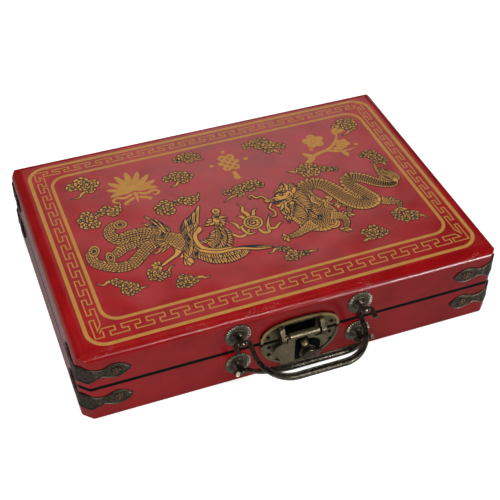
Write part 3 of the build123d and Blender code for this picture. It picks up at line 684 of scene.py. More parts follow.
DRAGON_TAIL = (
    ((141.0, -15.0), (144.0, -9.0), (141.5, -2.0), (138.5, 3.0)),
    ((140.0, -14.0), (139.5, -5.0), (135.5, 2.5), (137.0, 8.0)),
    ((139.0, -14.0), (135.5, -5.0), (130.5, 3.5), (131.5, 13.5), (130.0, 17.5)),
    ((137.5, -15.0), (131.5, -9.0), (130.0, -1.0), (128.0, 2.0)),
    ((138.0, -18.0), (131.0, -13.0), (128.0, -7.0), (128.5, -3.0)),
    ((140.0, -16.0), (137.0, -7.0), (133.0, -2.0), (133.5, 7.0)))
CHEST_SCROLLS = (
    ((55.0, -2.0, 1.6), (57.5, -8.0, 1.8), (55.0, -14.0, 1.5), (58.0, -19.0, 0.6)),
    ((61.0, -9.0, 1.5), (59.0, -15.0, 1.8), (62.5, -20.5, 1.5), (60.0, -25.0, 0.6)),
    ((66.5, -17.0, 1.5), (70.0, -20.0, 1.9), (67.0, -25.5, 1.6), (70.0, -31.0, 0.5)),
    ((71.0, -12.5, 1.4), (74.5, -17.0, 1.8), (71.0, -20.0, 1.5), (74.0, -26.0, 0.6)),
    ((58.0, -51.5, 1.4), (64.0, -52.5, 1.9), (68.0, -47.5, 1.7), (66.0, -44.0, 0.6)))
DRAGON_SLOPE = 0.0004     # rise of the body per millimetre towards the head
BELLY_EDGE = -0.54        # line between belly and scales, as a share of the half-width
FIN_PITCH = 2.9
RUNG_PITCH = 2.1
DRAGON_EYE = ((36.4, 2.6, 2.3, False), (36.1, 2.8, 1.2, True), (35.8, 2.9, 0.6, False))


def draw_rings(figure, rings):
    """Flat spots laid over one another: middle, radius, and whether each is gold."""
    for x, y, radius, gold in rings:
        figure.disc(x, y, radius, gold, halo=False)


def draw_claws(figure, leg):
    """Hooked toes that fan out from a leg's end, and a spur behind."""
    (back_x, back_y, _), (x, y, _) = leg[-2:]
    facing = math.degrees(math.atan2(y - back_y, x - back_x))
    figure.tuft((x, y), facing + np.array([-62, -22, 18, 58, 150]), 6.4, 1.25,
                np.array([0.2, 0.16, -0.16, -0.2, 0.2]), blunt=1.6)
    figure.disc(x, y, 1.9)


def draw_limb(figure, leg):
    """Scaled leg with a tuft at its knee."""
    draw_claws(figure, leg)
    knee = leg[1][:2]
    figure.tuft(knee, (20, 50, 80, 110), 7.0, 0.9, 0.15, blunt=1.6)
    limb = Spine(leg, 60, figure.top + 2 * figure.step)
    limb.draw(figure)
    scales(figure, limb, (1.0, limb.length - 1), pitch=1.8, rows=4, half_width=0.34)


def draw_dragon(figure):
    """Scaled body wound in S curves, with fins, legs, a maned head and a flaming tail."""
    for points in DRAGON_TAIL:
        figure.stroke([p + (1.35,) for p in points], start=0.1, end=0.8)
        figure.line(points, 0.3, start=0.1, end=0.8)
    for leg in DRAGON_LEGS[:3]:
        draw_limb(figure, leg)
    spine = Spine(DRAGON_BODY, 400, figure.top + 3 * figure.step, DRAGON_SLOPE)
    fins = np.arange(10.0, spine.length - 10, FIN_PITCH)[::-1]
    figure.leaves(spine.at(fins, 0.72), spine.at(fins + 3.2, 1.36), 1.3, -0.12, 1.6,
                  heights=spine.height(fins)[:, None] - 0.7 * figure.step)
    spine.draw(figure)
    scales(figure, spine, (8.0, spine.length - 5), pitch=2.15, rows=7, half_width=0.42,
           across=(BELLY_EDGE + 0.02, 0.96))
    belly = np.arange(9.0, spine.length - 6, RUNG_PITCH)[:, None]
    across = np.linspace(-0.58, -0.98, 4)[None, :]
    rungs = spine.at(belly - 1.4 * (across + 0.56), across)
    figure.ink.add(*bands(rungs, 0.36, spine.height(belly) + 0.25 * figure.step))
    edge = np.linspace(8.0, spine.length - 6, 300)[None]
    figure.ink.add(*bands(spine.at(edge, BELLY_EDGE), 0.3,
                          spine.height(edge) + 0.3 * figure.step))
    figure.top = spine.height(0.0) + figure.step
    for leg in DRAGON_LEGS[3:]:
        draw_limb(figure, leg)
    draw_chest_scrolls(figure)
    draw_mane(figure)
    draw_dragon_head(figure)


def draw_chest_scrolls(figure):
    """Flame scrolls over the second bend: curled strokes that hang from the shoulder."""
    for points in CHEST_SCROLLS:
        path = figure.stroke(points, start=0.1, end=0.4)
        figure.line(path[1:-1:3] + [0.3, 0.3], 0.3, start=0.3, end=0.3)


def draw_mane(figure):
    """Mane behind the head and beard below it: dark with thin gold hairs."""
    rng = np.random.default_rng(7)
    share = np.linspace(0, 1, 26)
    roots = np.stack([46.0 + 4.5 * np.sin(3 * share) - 9.0 * share, 4.0 - 32.0 * share], axis=-1)
    angles = 66 - 118 * share
    reach = 10.5 + 2.0 * rng.random(26)
    tips = roots + round_about(0.0, 0.0, reach, np.radians(angles))
    figure.leaves(roots - [3.0, 0.0], tips, 0.62, 0.14, 1.6)
    share = np.linspace(0, 1, 16)
    roots = np.stack([39.0 - 5.0 * share, -8.0 - 16.0 * share], axis=-1)
    tips = roots + np.stack([-7.0 + 2.0 * share, -8.0 - 3.0 * share], axis=-1)
    figure.leaves(roots, tips, 0.6, -0.16, 1.6)
    share = np.linspace(0, 1, 14)
    roots = np.stack([40.0 + 5.0 * share, -4.0 - 15.0 * np.abs(share - 0.2)], axis=-1)
    tips = roots + np.stack([6.0 - 3.0 * share, -9.0 - 4.0 * share], axis=-1)
    figure.leaves(roots, tips, 0.62, 0.16, 1.6)


def draw_dragon_head(figure):
    """Head in profile towards the pearl: jaws, nose, brow, horns, tusks and whiskers."""
    for points in (((41.5, 5.0, 1.7), (44.5, 11.0, 1.4), (45.0, 14.5, 1.1), (42.5, 17.5, 0.4)),
                   ((37.0, 5.5, 1.6), (38.5, 10.5, 1.3), (41.5, 13.5, 1.0), (40.5, 16.0, 0.4)),
                   ((45.0, 0.5, 1.7), (48.5, 3.5, 1.5), (50.5, 7.5, 1.1), (48.0, 9.0, 0.5))):
        figure.stroke(points, end=0.5)
    figure.tuft((39.0, 3.0), (62, 84, 104, 126, 148), 8.5, 1.0, 0.15, blunt=1.6)
    figure.stroke(((41.0, -3.0, 4.6), (36.0, -7.5, 2.8), (31.0, -10.8, 2.2), (26.0, -10.0, 1.5)),
                  end=0.25)
    figure.stroke(((37.0, -8.0, 1.1), (33.5, -13.0, 1.2), (34.5, -19.0, 0.9), (33.0, -24.0, 0.4)),
                  end=0.4)
    figure.stroke(((33.0, -10.0, 1.0), (30.5, -14.0, 1.1), (27.5, -17.5, 0.5)), end=0.4)
    figure.disc(40.0, 0.5, 6.2)
    figure.stroke(((39.5, 1.5, 5.0), (34.0, 0.0, 4.2), (28.5, -2.2, 3.0), (23.5, -2.0, 2.4)),
                  end=0.15)
    figure.disc(22.0, -0.8, 2.5)
    figure.disc(26.0, -4.4, 1.4)
    figure.tuft((28.5, -1.0), (205, 235, 262, 290), 5.2, 0.7, 0.1, blunt=1.6)
    for x in (28.5, 31.2, 34.0):
        figure.stroke(((x, -4.6, 0.6), (x - 0.5, -7.6, 0.2)), start=0.02, end=0.9, count=5)
    draw_rings(figure, DRAGON_EYE)
    for points, width in ((((30.5, 4.4), (35.5, 6.2), (40.5, 4.6), (43.5, 6.8)), 0.7),
                          (((24.2, -4.0), (30.0, -5.2), (36.0, -5.2), (40.0, -8.0)), 0.7),
                          (((20.6, -0.2), (22.3, 0.7), (23.4, -1.0)), 0.4),
                          (((40.0, -1.5), (42.6, -0.5), (44.2, 2.4)), 0.5),
                          (((40.2, -4.0), (43.0, -3.2), (45.4, -0.8)), 0.5),
                          (((26.0, 0.8), (29.6, 2.0), (32.6, 1.2)), 0.45)):
        figure.line(points, width, start=0.3, end=0.3)
    for whisker in (((23.0, -0.6, 0.8), (20.0, 5.0, 0.8), (18.5, 6.8, 0.7), (14.0, 5.8, 0.7),
                     (11.5, 10.5, 0.7), (8.6, 9.5, 0.6), (8.8, 6.4, 0.4)),
                    ((24.5, -5.0, 0.8), (20.2, -10.5, 0.8), (22.5, -16.0, 0.75),
                     (21.5, -21.5, 0.7), (18.0, -22.0, 0.5), (17.0, -19.0, 0.4))):
        figure.stroke(whisker, end=0.3)
    figure.disc(29.0, -27.5, 1.8)
    figure.tuft((30.5, -25.0), (95, 110, 250, 275), 7.0, 0.7, 0.1, blunt=1.6)


# ---- phoenix ----------------------------------------------------------------------
PHOENIX_NECK = ((-27.5, -12.0, 2.6), (-29.5, -20.0, 3.2), (-30.5, -29.0, 4.4),
                (-35.0, -38.0, 5.6), (-44.0, -41.5, 6.4))
PHOENIX_BODY = ((-53.0, -38.5, 7.4), (-60.0, -32.5, 8.6), (-66.0, -25.0, 8.4),
                (-72.0, -18.0, 6.6), (-77.0, -14.0, 4.6))
# Tail plumes: middle line with half-widths, then the eye at the end: x, y, half sizes, turn.
PHOENIX_PLUMES = (
    (((-76.0, -14.5, 2.6), (-90.0, -13.0, 4.6), (-103.0, -14.5, 4.8), (-112.5, -17.0, 4.4),
      (-119.5, -21.5, 3.6), (-124.5, -23.5, 3.0)), (-125.5, -24.5, 3.6, 6.8, 0)),
    (((-76.0, -16.5, 2.8), (-91.0, -21.5, 5.0), (-102.0, -31.0, 4.4), (-111.0, -38.0, 4.6),
      (-121.0, -38.5, 4.6), (-131.0, -33.5, 4.2), (-138.5, -26.5, 3.6), (-140.0, -17.0, 3.2),
      (-137.5, -12.0, 2.8)), (-136.3, -12.5, 4.6, 6.8, -20)),
    (((-76.0, -12.0, 2.8), (-89.0, -5.0, 5.6), (-102.0, -4.0, 6.0), (-113.0, -5.0, 5.2),
      (-118.0, 1.5, 4.2), (-117.5, 9.0, 3.6), (-112.5, 13.5, 3.2), (-108.0, 13.5, 2.6)),
     (-107.0, 12.8, 5.8, 5.4, 0)))
# Spikes round the tail's root: tips, from above the tail over to its underside.
PHOENIX_SPIKES = ((-69.5, -4.0), (-71.5, -1.0), (-74.5, 4.5), (-77.5, 10.0), (-80.5, 5.0),
                  (-84.5, 16.5), (-86.0, 7.0), (-89.0, 7.5), (-92.0, 1.0), (-91.0, -33.0),
                  (-84.5, -33.0), (-78.5, -30.0), (-88.0, -25.5), (-73.5, -33.0))
PHOENIX_ROOT = (-73.0, -15.5)
PLUME_EYE = ((1.0, True), (0.80, False), (0.50, True), (0.36, False))   # sizes; is it gold
# Rows of feathers: the lines of their roots and tips, their number, half-width and bluntness.
SHOULDER = (((-57.0, -24.0), (-58.5, -32.0), (-57.0, -39.0), (-55.0, -43.0)),
            ((-66.5, -37.0), (-65.0, -43.5), (-61.5, -49.5), (-57.0, -49.0)), 11, 1.15, 2.4)
UPPER_WING = (((-59.5, -19.0), (-56.0, -17.5), (-52.5, -17.0), (-49.0, -16.0), (-46.5, -13.5)),
              ((-58.5, -7.0), (-54.5, -1.0), (-49.5, 1.8), (-43.0, 7.0), (-36.0, 14.0)),
              13, 1.45, 2.6)
UPPER_COVERTS = (
    (((-58.5, -27.0), (-56.0, -23.0), (-52.5, -20.5), (-49.5, -18.0)),
     ((-60.0, -13.0), (-56.0, -10.0), (-51.5, -8.5), (-46.0, -7.5)), 9, 1.15, 2.4),
    (((-57.5, -35.0), (-56.0, -30.0), (-54.0, -26.0), (-51.0, -22.0)),
     ((-60.5, -22.0), (-57.5, -18.5), (-54.0, -16.5), (-48.0, -13.0)), 9, 1.05, 2.4))
PRIMARY_ROOTS = ((-24.0, -49.0), (-19.0, -51.0), (-12.0, -54.0))
PRIMARY_TIPS = ((-20.0, -52.5), (-13.0, -55.5), (-4.0, -57.5), (4.5, -58.5))
LOWER_WING = (((-55.0, -42.0), (-47.0, -48.0), (-37.0, -50.5), (-26.0, -49.5), (-18.0, -51.5)),
              ((-57.5, -52.0), (-48.5, -60.5), (-36.0, -64.0), (-25.0, -62.5), (-17.0, -58.5)),
              21, 1.25, 3.0)
LOWER_COVERTS = (((-54.0, -41.0), (-46.0, -46.5), (-36.0, -48.5), (-27.0, -47.5)),
                 ((-55.0, -47.5), (-47.0, -54.5), (-36.0, -57.0), (-23.0, -55.5)), 18, 1.2, 3.0)
# Bars along the wings' front edges.
WING_EDGES = (
    ((-45.0, -13.5, 1.6), (-46.5, -17.5, 2.0), (-51.5, -22.0, 1.7), (-53.0, -30.0, 1.7),
     (-50.5, -39.5, 1.8), (-42.0, -46.0, 1.7), (-33.0, -47.5, 1.6), (-26.5, -46.5, 0.8)),
    ((-55.5, -40.5, 1.2), (-48.5, -45.5, 1.5), (-40.0, -49.5, 1.5), (-30.0, -50.0, 1.3),
     (-20.0, -51.5, 1.1), (-8.0, -56.5, 0.9), (5.0, -59.0, 0.4)))


def draw_plume(figure, points, eye):
    """Tail plume: rows of curled lobes over a dark ground, edged with barbs, and an eye."""
    spine = Spine(points, 160, figure.top + 2 * figure.step)
    ground = spine.path.copy()
    ground[:, 2] *= 0.86
    figure.ink.add(*bands(ground[None, :, :2], ground[None, :, 2], figure.rise()))
    s = np.arange(spine.length - 3.0, 4.0, -2.1)
    for side in (-1, 1):
        figure.leaves(spine.at(s - 1.4, side * 0.55), spine.at(s + 1.7, side * 1.08), 0.85,
                      side * 0.25)
    s = np.arange(spine.length - 4.0, 3.0, -2.7)
    for shift, across in ((0.0, -0.42), (1.3, 0.42), (0.6, 0.0)):
        figure.leaves(spine.at(s - 1.2 + shift, across), spine.at(s + 0.9 + shift, 1.2 * across),
                      0.72, 0.2, 2.2)
    x, y, half_x, half_y, turn = eye
    cosine, sine = math.cos(math.radians(turn)), math.sin(math.radians(turn))
    spin = np.array([[cosine, sine], [-sine, cosine]])
    for size, gold in PLUME_EYE:
        reach = np.array([[0.0, -half_y * size], [0.0, half_y * size]]) @ spin + [x, y]
        figure.leaves(reach[:1], reach[1:], half_x * size, halo=size == 1.0, gold=gold, count=15)
    angle = np.linspace(0, 2 * math.pi, 12)[:-1]
    ring = np.stack([0.66 * half_x * np.cos(angle), 0.66 * half_y * np.sin(angle)], -1) @ spin
    figure.discs(ring + [x, y], 0.42, halo=False, count=6)


def draw_wing(figure, roots, tips, number, half_width, blunt):
    """Feathers between two smooth lines, each over the one before, with a shaft in ink."""
    roots, tips = smooth_curve(roots, number), smooth_curve(tips, number)
    figure.leaves(roots, tips, half_width, 0.04, blunt, count=9)
    chord = tips - roots
    side = left_of(chord)
    figure.leaves(roots + 0.25 * chord + 0.03 * side, roots + 0.86 * chord + 0.02 * side,
                  0.24, 0.01, halo=False, gold=False, count=5)


def draw_phoenix(figure):
    """Bird in flight: curled tail plumes, spikes, two wings, neck hackles and a crest."""
    spikes = np.array(PHOENIX_SPIKES) - PHOENIX_ROOT
    above = spikes[:, 1] + PHOENIX_ROOT[1] > -10
    for first, last, aside, half_width, bows in (
            (0.12, 1.0, (0.0, 0.0), 1.0, (-0.05, 0.12)),
            (0.1, 0.8, (0.9, 0.2), 0.75, (-0.03, 0.10))):
        figure.leaves(PHOENIX_ROOT + first * spikes, PHOENIX_ROOT + last * spikes + aside,
                      half_width, np.where(above, *bows), 1.7, count=10)
    for points, eye in PHOENIX_PLUMES:
        draw_plume(figure, points, eye)
    draw_phoenix_legs(figure)
    figure.tuft((-68.0, -19.0), np.linspace(150, 205, 12), 17.0, 0.9, 0.05, blunt=2.2)
    body = Spine(PHOENIX_BODY, 120, figure.top + 2 * figure.step)
    body.draw(figure)
    scales(figure, body, (1.0, body.length - 1.0), pitch=2.4, rows=7, half_width=0.42)
    for feathers in (SHOULDER, UPPER_WING) + UPPER_COVERTS:
        draw_wing(figure, *feathers)
    figure.leaves(smooth_curve(PRIMARY_ROOTS, 8), smooth_curve(PRIMARY_TIPS, 8)[::-1], 1.2, 0.03,
                  count=10)
    for feathers in (LOWER_WING, LOWER_COVERTS):
        draw_wing(figure, *feathers)
    draw_neck(figure)
    for points in WING_EDGES:
        figure.stroke(points, end=0.15)
    draw_phoenix_head(figure)


def draw_phoenix_legs(figure):
    """One leg stretched back with its claws open, the other hanging."""
    leg = ((-69.0, -33.5, 3.4), (-74.0, -40.0, 1.7), (-81.0, -44.0, 1.3), (-89.5, -49.0, 1.1))
    figure.tuft((-91.0, -48.5), (75, 108, 142, 176, 260), (6.0, 7.0, 7.0, 5.5, 4.5), 1.35, 0.12,
                blunt=1.8)
    figure.stroke(leg, end=0.1)
    figure.tuft((-67.0, -45.0), (250, 268, 286), (10.5, 11.5, 10.0), 1.9, 0.04, blunt=2.2)
    figure.tuft((-67.0, -40.0), (225, 262, 285), (7.0, 8.0, 7.0), 1.3, 0.06, blunt=1.8)


def draw_neck(figure):
    """Neck covered in ragged hackles, and the scaled breast under them."""
    neck = Spine(PHOENIX_NECK, 120)
    s = np.arange(neck.length - 7.0, 5.0, -2.0)
    figure.leaves(neck.at(s, -0.4), neck.at(s + 6.0, -1.9) + [-2.2, -0.6], 0.85, 0.14, 1.7)
    figure.leaves(neck.at(s, 0.4), neck.at(s + 5.0, 1.75) + [0.6, -1.8], 0.85, -0.14, 1.7)
    neck.base = figure.top + 2 * figure.step
    neck.draw(figure)
    scales(figure, neck, (4.0, neck.length - 1.0), pitch=2.0, rows=6, half_width=0.40)
    figure.leaves(neck.at(s + 1.0, 0.1), neck.at(s + 6.5, 0.9) + [0.0, -1.5], 0.55, -0.1, 1.7)


def draw_phoenix_head(figure):
    """Head with a comb, a hooked beak, wattles and a stalked crest."""
    figure.tuft((-29.5, -10.0), (150, 175, 198, 215), (6.5, 8.5, 11.5, 8.0), 1.1, 0.12, blunt=1.7)
    figure.stroke(((-26.5, -6.5, 0.8), (-24.6, -3.0, 0.8), (-26.2, 0.0, 0.7)), end=0.2)
    figure.disc(-25.0, 1.2, 3.4)
    draw_rings(figure, ((-25.0, 1.2, 1.7, False), (-24.6, 1.5, 0.8, True)))
    figure.tuft((-27.5, -8.0), (92, 118, 142), (5.5, 5.0, 4.5), 1.1, -0.12, blunt=2.0)
    figure.disc(-27.6, -10.0, 3.8)
    for beak in (((-25.5, -8.6, 1.6), (-21.5, -8.0, 1.0), (-18.6, -10.4, 0.3)),
                 ((-25.5, -11.2, 1.2), (-22.5, -12.0, 0.7), (-20.0, -13.6, 0.3))):
        figure.stroke(beak, end=0.8, count=9)
    figure.tuft((-25.8, -12.5), (-105, -80, -55), (7.0, 6.5, 5.0), 0.95, 0.1, blunt=1.8)
    draw_rings(figure, ((-27.0, -9.0, 1.3, False), (-26.9, -8.9, 0.6, True)))
    figure.line(((-29.5, -7.5), (-27.0, -6.9), (-24.8, -7.6)), 0.45, start=0.2, end=0.2)


# ---- pearl ------------------------------------------------------------------------
PEARL = (0.0, -23.6, 8.4)
PEARL_RIBBONS = (
    ((-9.0, -24.0, 1.0), (-13.0, -27.0, 1.3), (-14.8, -20.5, 1.2), (-19.0, -15.8, 0.5)),
    ((-6.5, -30.5, 1.0), (-10.0, -35.5, 1.3), (-17.0, -37.0, 1.4), (-22.5, -31.5, 1.2),
     (-29.0, -30.5, 0.5)),
    ((-11.5, -24.0, 0.9), (-11.0, -31.0, 1.2), (-8.0, -36.5, 1.0), (-1.0, -36.0, 0.5)),
    ((1.5, -32.0, 0.9), (3.5, -38.5, 1.3), (8.5, -39.5, 1.3), (10.0, -33.0, 1.4),
     (12.5, -26.5, 1.1), (16.5, -19.0, 0.5)),
    ((10.5, -33.5, 1.0), (12.5, -36.5, 1.2), (16.5, -36.0, 1.1), (20.0, -32.5, 0.9),
     (24.0, -32.0, 0.4)))
PEARL_FLAMES = (
    ((-5.0, -16.8, 1.6), (-7.0, -12.8, 1.4), (-10.0, -11.4, 0.4)),
    ((-0.4, -15.8, 1.9), (-1.2, -10.5, 1.6), (-3.4, -6.0, 1.3), (-1.6, -1.5, 0.9),
     (-4.2, 4.6, 0.3)),
    ((2.4, -16.0, 1.8), (4.6, -12.5, 1.3), (5.8, -9.2, 1.0), (9.6, -7.4, 0.4)))


def draw_pearl(figure):
    """Flaming pearl: a ringed disc with a curl in it, flames above and ribbons at its sides."""
    for ribbon in PEARL_RIBBONS + PEARL_FLAMES:
        figure.stroke(ribbon, end=0.35)
    x, y, radius = PEARL
    for size, gold in ((1.0, True), (0.80, False), (0.66, True)):
        figure.disc(x, y, radius * size, gold, halo=size == 1.0)
    figure.spiral(x, y, 0.52 * radius, turns=1.6, angle=0.6, hand=1, half_width=0.55)
    ring = round_about(x, y, 0.58 * radius, np.linspace(0, 2 * math.pi, 10)[:-1])
    figure.discs(ring, 0.55, gold=False, halo=False, count=6)


# ---- ornaments --------------------------------------------------------------------
LOTUS = (-83.5, 58.5)
KNOT = (9.0, 62.5)
KNOT_GAP = 5.4            # between neighbouring cords
KNOT_CORD = 1.35          # a cord's half-width
BLOSSOM = (103.0, 58.5)


def moved(points, place, side=1):
    """Points with their half-widths, set down about a place; side -1 mirrors them."""
    return [(place[0] + side * dx, place[1] + dy, width) for dx, dy, width in points]


def draw_lotus(figure):
    """Lotus seen from the side: fanned petals on a stem, over two curling waves."""
    x, y = LOTUS
    plain = dict(halo=False, count=13, blunt=1.8)
    for angles, reach, half_width in (((22, 158), 24.0, 2.7), ((45, 135), 26.5, 2.9),
                                      ((67.5, 112.5), 28.0, 3.0), ((90,), 28.5, 3.2)):
        figure.tuft((x, y - 6.0), angles, reach, half_width, 0.0, 1.0, **plain)
    figure.tuft((x, y - 7.0), (-2, 182), 21.5, 2.5, np.array([0.12, -0.12]), 3.5, **plain)
    for side in (-1, 1):
        for points in (((1.5, -8.5, 1.4), (9, -12.5, 1.7), (17, -10.5, 1.4), (20.8, -14.0, 1.1),
                        (17.0, -17.0, 0.9), (14.5, -14.8, 0.5)),
                       ((1.5, -14.5, 1.3), (7, -17.5, 1.6), (12, -20.5, 1.1), (8.5, -22.5, 0.7))):
            figure.line(moved(points, LOTUS, side), gold=True, start=0.1, end=0.3)
    stem = ((0, -7.0, 1.7), (0.6, -14.0, 1.5), (-0.4, -22.5, 0.7))
    figure.line(moved(stem, LOTUS), gold=True, start=0.1, end=0.4)


def draw_knot(figure):
    """Endless knot on its corner: three loops each way with round ends, and a tassel."""
    x, y = KNOT
    turn = math.sqrt(0.5)
    spin = np.array([[turn, -turn], [turn, turn]])
    arm = 1.5 * KNOT_GAP
    bow = np.linspace(-math.pi / 2, math.pi / 2, 9)
    lanes = [(np.linspace((-arm, lane * KNOT_GAP), (arm, lane * KNOT_GAP), 8), 16)
             for lane in (-1, 0, 1)]
    loops = [(np.stack([end * (arm + KNOT_GAP / 2 * np.cos(bow)),
                        end * KNOT_GAP / 2 + KNOT_GAP / 2 * np.sin(bow)], axis=-1), 24)
             for end in (-1, 1)]
    for way in (1, -1):
        for points, count in lanes + loops:
            figure.line(points[:, ::way] @ spin.T + [x, y], KNOT_CORD, True, count=count)
    beads = ((0, 16.5, 2.0), (-16.5, 0, 2.0), (16.5, 0, 2.0), (0, -16.2, 2.4))
    for bead in moved(beads, KNOT):
        figure.disc(*bead, halo=False)
    figure.tuft((x, y - 15.5), (-104, -97, -90, -83, -76), 10.5, 1.0, halo=False, blunt=3.0)


def draw_blossom(figure):
    """Branch with two five-petalled blossoms, buds and leaves."""
    x, y = BLOSSOM
    branch = ((-25.0, -18.0, 2.3), (-12.0, -12.0, 2.0), (0.0, -9.0, 1.8), (11.0, 1.0, 1.5),
              (20.0, 18.0, 0.6))
    figure.line(moved(branch, BLOSSOM), gold=True, start=0.05, end=0.3)
    twig = ((-4.0, -10.0, 1.5), (9.0, -16.0, 1.3), (26.0, -15.5, 0.5))
    figure.line(moved(twig, BLOSSOM), gold=True, start=0.1, end=0.4)
    for cx, cy, size, start in ((x - 9.0, y + 7.0, 11.0, 0.3), (x + 15.0, y - 5.5, 7.6, 0.9)):
        angle = start + np.arange(5) * 2 * math.pi / 5
        figure.discs(round_about(cx, cy, 0.58 * size, angle), 0.38 * size, halo=False, count=15)
        figure.disc(cx, cy, 0.2 * size, halo=False)
    for angle, length, bx, by in ((140, 13, -16, -15), (205, 12, -18, -16), (75, 12, 15, 8),
                                  (-70, 10, 9, -16), (22, 9, 17, 11), (-14, 10, 3, -11)):
        figure.tuft((x + bx, y + by), (angle,), length, 2.4, 0.1, halo=False, count=11)
    for bud in moved(((21.5, 20.5, 2.1), (-16.0, -4.5, 2.0), (26.5, -11.0, 1.8)), BLOSSOM):
        figure.disc(*bud, halo=False)




# ---- shader nodes -----------------------------------------------------------------
def fill(tree, made, inputs):
    """Set a node's inputs by name or number, each to a plain value or a link."""
    for key, value in inputs.items():
        if isinstance(value, bpy.types.NodeSocket):
            tree.links.new(value, made.inputs[key])
        else:
            made.inputs[key].default_value = value


def node(tree, kind, inputs=None, **settings):
    """Add a node, set its properties, then its inputs."""
    made = tree.nodes.new(kind)
    for key, value in settings.items():
        setattr(made, key, value)
    fill(tree, made, inputs or {})
    return made


def maths(tree, operation, first, second=0.0, **settings):
    """Result of one calculation on two values."""
    return node(tree, "ShaderNodeMath", {0: first, 1: second}, operation=operation,
                **settings).outputs[0]


def remap(tree, value, low, high, to_low=0.0, to_high=1.0):
    """Value stretched from one range to another, and held inside it."""
    return node(tree, "ShaderNodeMapRange",
                {"Value": value, "From Min": low, "From Max": high,
                 "To Min": to_low, "To Max": to_high}).outputs[0]


def position(tree):
    """Position in the piece's own coordinates, which at rest are the frame's."""
    return node(tree, "ShaderNodeTexCoord").outputs["Object"]


def coordinate(tree, axis):
    """Position along one axis."""
    return node(tree, "ShaderNodeSeparateXYZ", {0: position(tree)}).outputs[axis]


def noise(tree, vector, scale, detail, **more):
    """Noise from 0 to 1; more gives its other inputs."""
    return node(tree, "ShaderNodeTexNoise",
                {"Vector": vector, "Scale": scale, "Detail": detail, **more}).outputs["Fac"]


def mix_value(tree, factor, first, second):
    """Value between two values by a factor."""
    return node(tree, "ShaderNodeMix", {"Factor": factor, "A": first, "B": second}).outputs[0]


def mix_colour(tree, factor, first, second):
    """Colour between two colours by a factor."""
    first, second = (value if isinstance(value, bpy.types.NodeSocket)
                     else tuple(value)[:3] + (1.0,) for value in (first, second))
    return node(tree, "ShaderNodeMix", {0: factor, 6: first, 7: second},
                data_type="RGBA").outputs[2]


def grey(value):
    """A neutral colour."""
    return (value, value, value)


def shade(colour, share):
    """A colour made darker or lighter by a share."""
    return tuple(share * channel for channel in colour)


def bump(tree, shader, height, distance, **more):
    """Bump into the shader's normal, its depth in metres; more may give a normal to add to."""
    made = node(tree, "ShaderNodeBump", {"Height": height, "Distance": distance, **more})
    tree.links.new(made.outputs[0], shader.inputs["Normal"])


# ---- shared effects ---------------------------------------------------------------
def mottle(tree, given):
    """Cloudy mask: the mean of two noises of different size, stretched between two levels."""
    large = noise(tree, position(tree), given["Scale"], 4.0, Roughness=0.6)
    small = noise(tree, position(tree), maths(tree, "MULTIPLY", given["Scale"], 5.3), 3.0)
    mean = maths(tree, "MULTIPLY", maths(tree, "ADD", large, small), 0.5)
    return remap(tree, mean, given["Low"], given["High"])


def leather_grain(tree, given):
    """Fine leather grain as a height: cell edges mixed with a fine noise."""
    cells = node(tree, "ShaderNodeTexVoronoi",
                 {"Vector": position(tree), "Scale": given["Scale"]},
                 feature="DISTANCE_TO_EDGE").outputs["Distance"]
    fine = noise(tree, position(tree), given["Scale"], 3.0)
    return mix_value(tree, given["Cells"], fine, remap(tree, cells, 0.0, 0.22))


def scratches(tree, given):
    """Thin scratches: the narrow zero crossings of a noise stretched along one direction."""
    turned = node(tree, "ShaderNodeMapping",
                  {"Vector": position(tree), "Rotation": (0.3, 0.2, 0.6),
                   "Scale": (1.0, 7.0, 3.0)}).outputs[0]
    middle = maths(tree, "SUBTRACT", noise(tree, turned, given["Scale"], 2.0), 0.5)
    line = remap(tree, maths(tree, "ABSOLUTE", middle), given["Width"], 0.0)
    chosen = maths(tree, "GREATER_THAN", noise(tree, position(tree), 55.0, 1.0),
                   given["Amount"])
    return maths(tree, "MULTIPLY", line, chosen)


def height_band(tree, given):
    """One inside a range of heights, falling off evenly on both sides."""
    z = coordinate(tree, "Z")
    rise = remap(tree, maths(tree, "SUBTRACT", z, given["Low"]), 0.0, given["Soft"])
    fall = remap(tree, maths(tree, "SUBTRACT", given["High"], z), 0.0, given["Soft"])
    return maths(tree, "MULTIPLY", rise, fall)


# Node groups: what each is built by, what it puts out, and its inputs.
EFFECTS = {
    "mottle": (mottle, "Mask", {"Scale": 60.0, "Low": 0.35, "High": 0.65}),
    "leather_grain": (leather_grain, "Height", {"Scale": 900.0, "Cells": 0.6}),
    "scratches": (scratches, "Mask", {"Scale": 40.0, "Width": 0.012, "Amount": 0.5}),
    "height_band": (height_band, "Mask", {"Low": 0.0, "High": 0.01, "Soft": 0.002})}


def effect_group(name):
    """Shared node group with named float inputs and one named output."""
    build, output, inputs = EFFECTS[name]
    tree = bpy.data.node_groups.new(name, "ShaderNodeTree")
    for socket, default in inputs.items():
        made = tree.interface.new_socket(name=socket, in_out="INPUT", socket_type="NodeSocketFloat")
        made.default_value = default
    tree.interface.new_socket(name=output, in_out="OUTPUT", socket_type="NodeSocketFloat")
    given = tree.nodes.new("NodeGroupInput").outputs
    leave = tree.nodes.new("NodeGroupOutput")
    tree.links.new(build(tree, given), leave.inputs[output])
    return tree


def effect(tree, name, **values):
    """Place a shared effect in a material and set its inputs."""
    made = tree.nodes.new("ShaderNodeGroup")
    made.node_tree = bpy.data.node_groups.get(name) or effect_group(name)
    for key, value in values.items():
        made.inputs[key.title()].default_value = value
    return made.outputs[0]


def grain(tree):
    """The leatherette's grain, which also shows through the print."""
    return effect(tree, "leather_grain", scale=850.0, cells=0.45)


# ---- finishes ---------------------------------------------------------------------
LAP = 0.35                # black edging over each cover's rim
LATCH_SHADE = 4.0         # painted shade behind the latch: black this far from the rims
WORN_DEPTH = 5.0          # cracks reach this far below the top
WORN_FRONT = (9.0, 6.0)   # and fade in between these distances behind the front


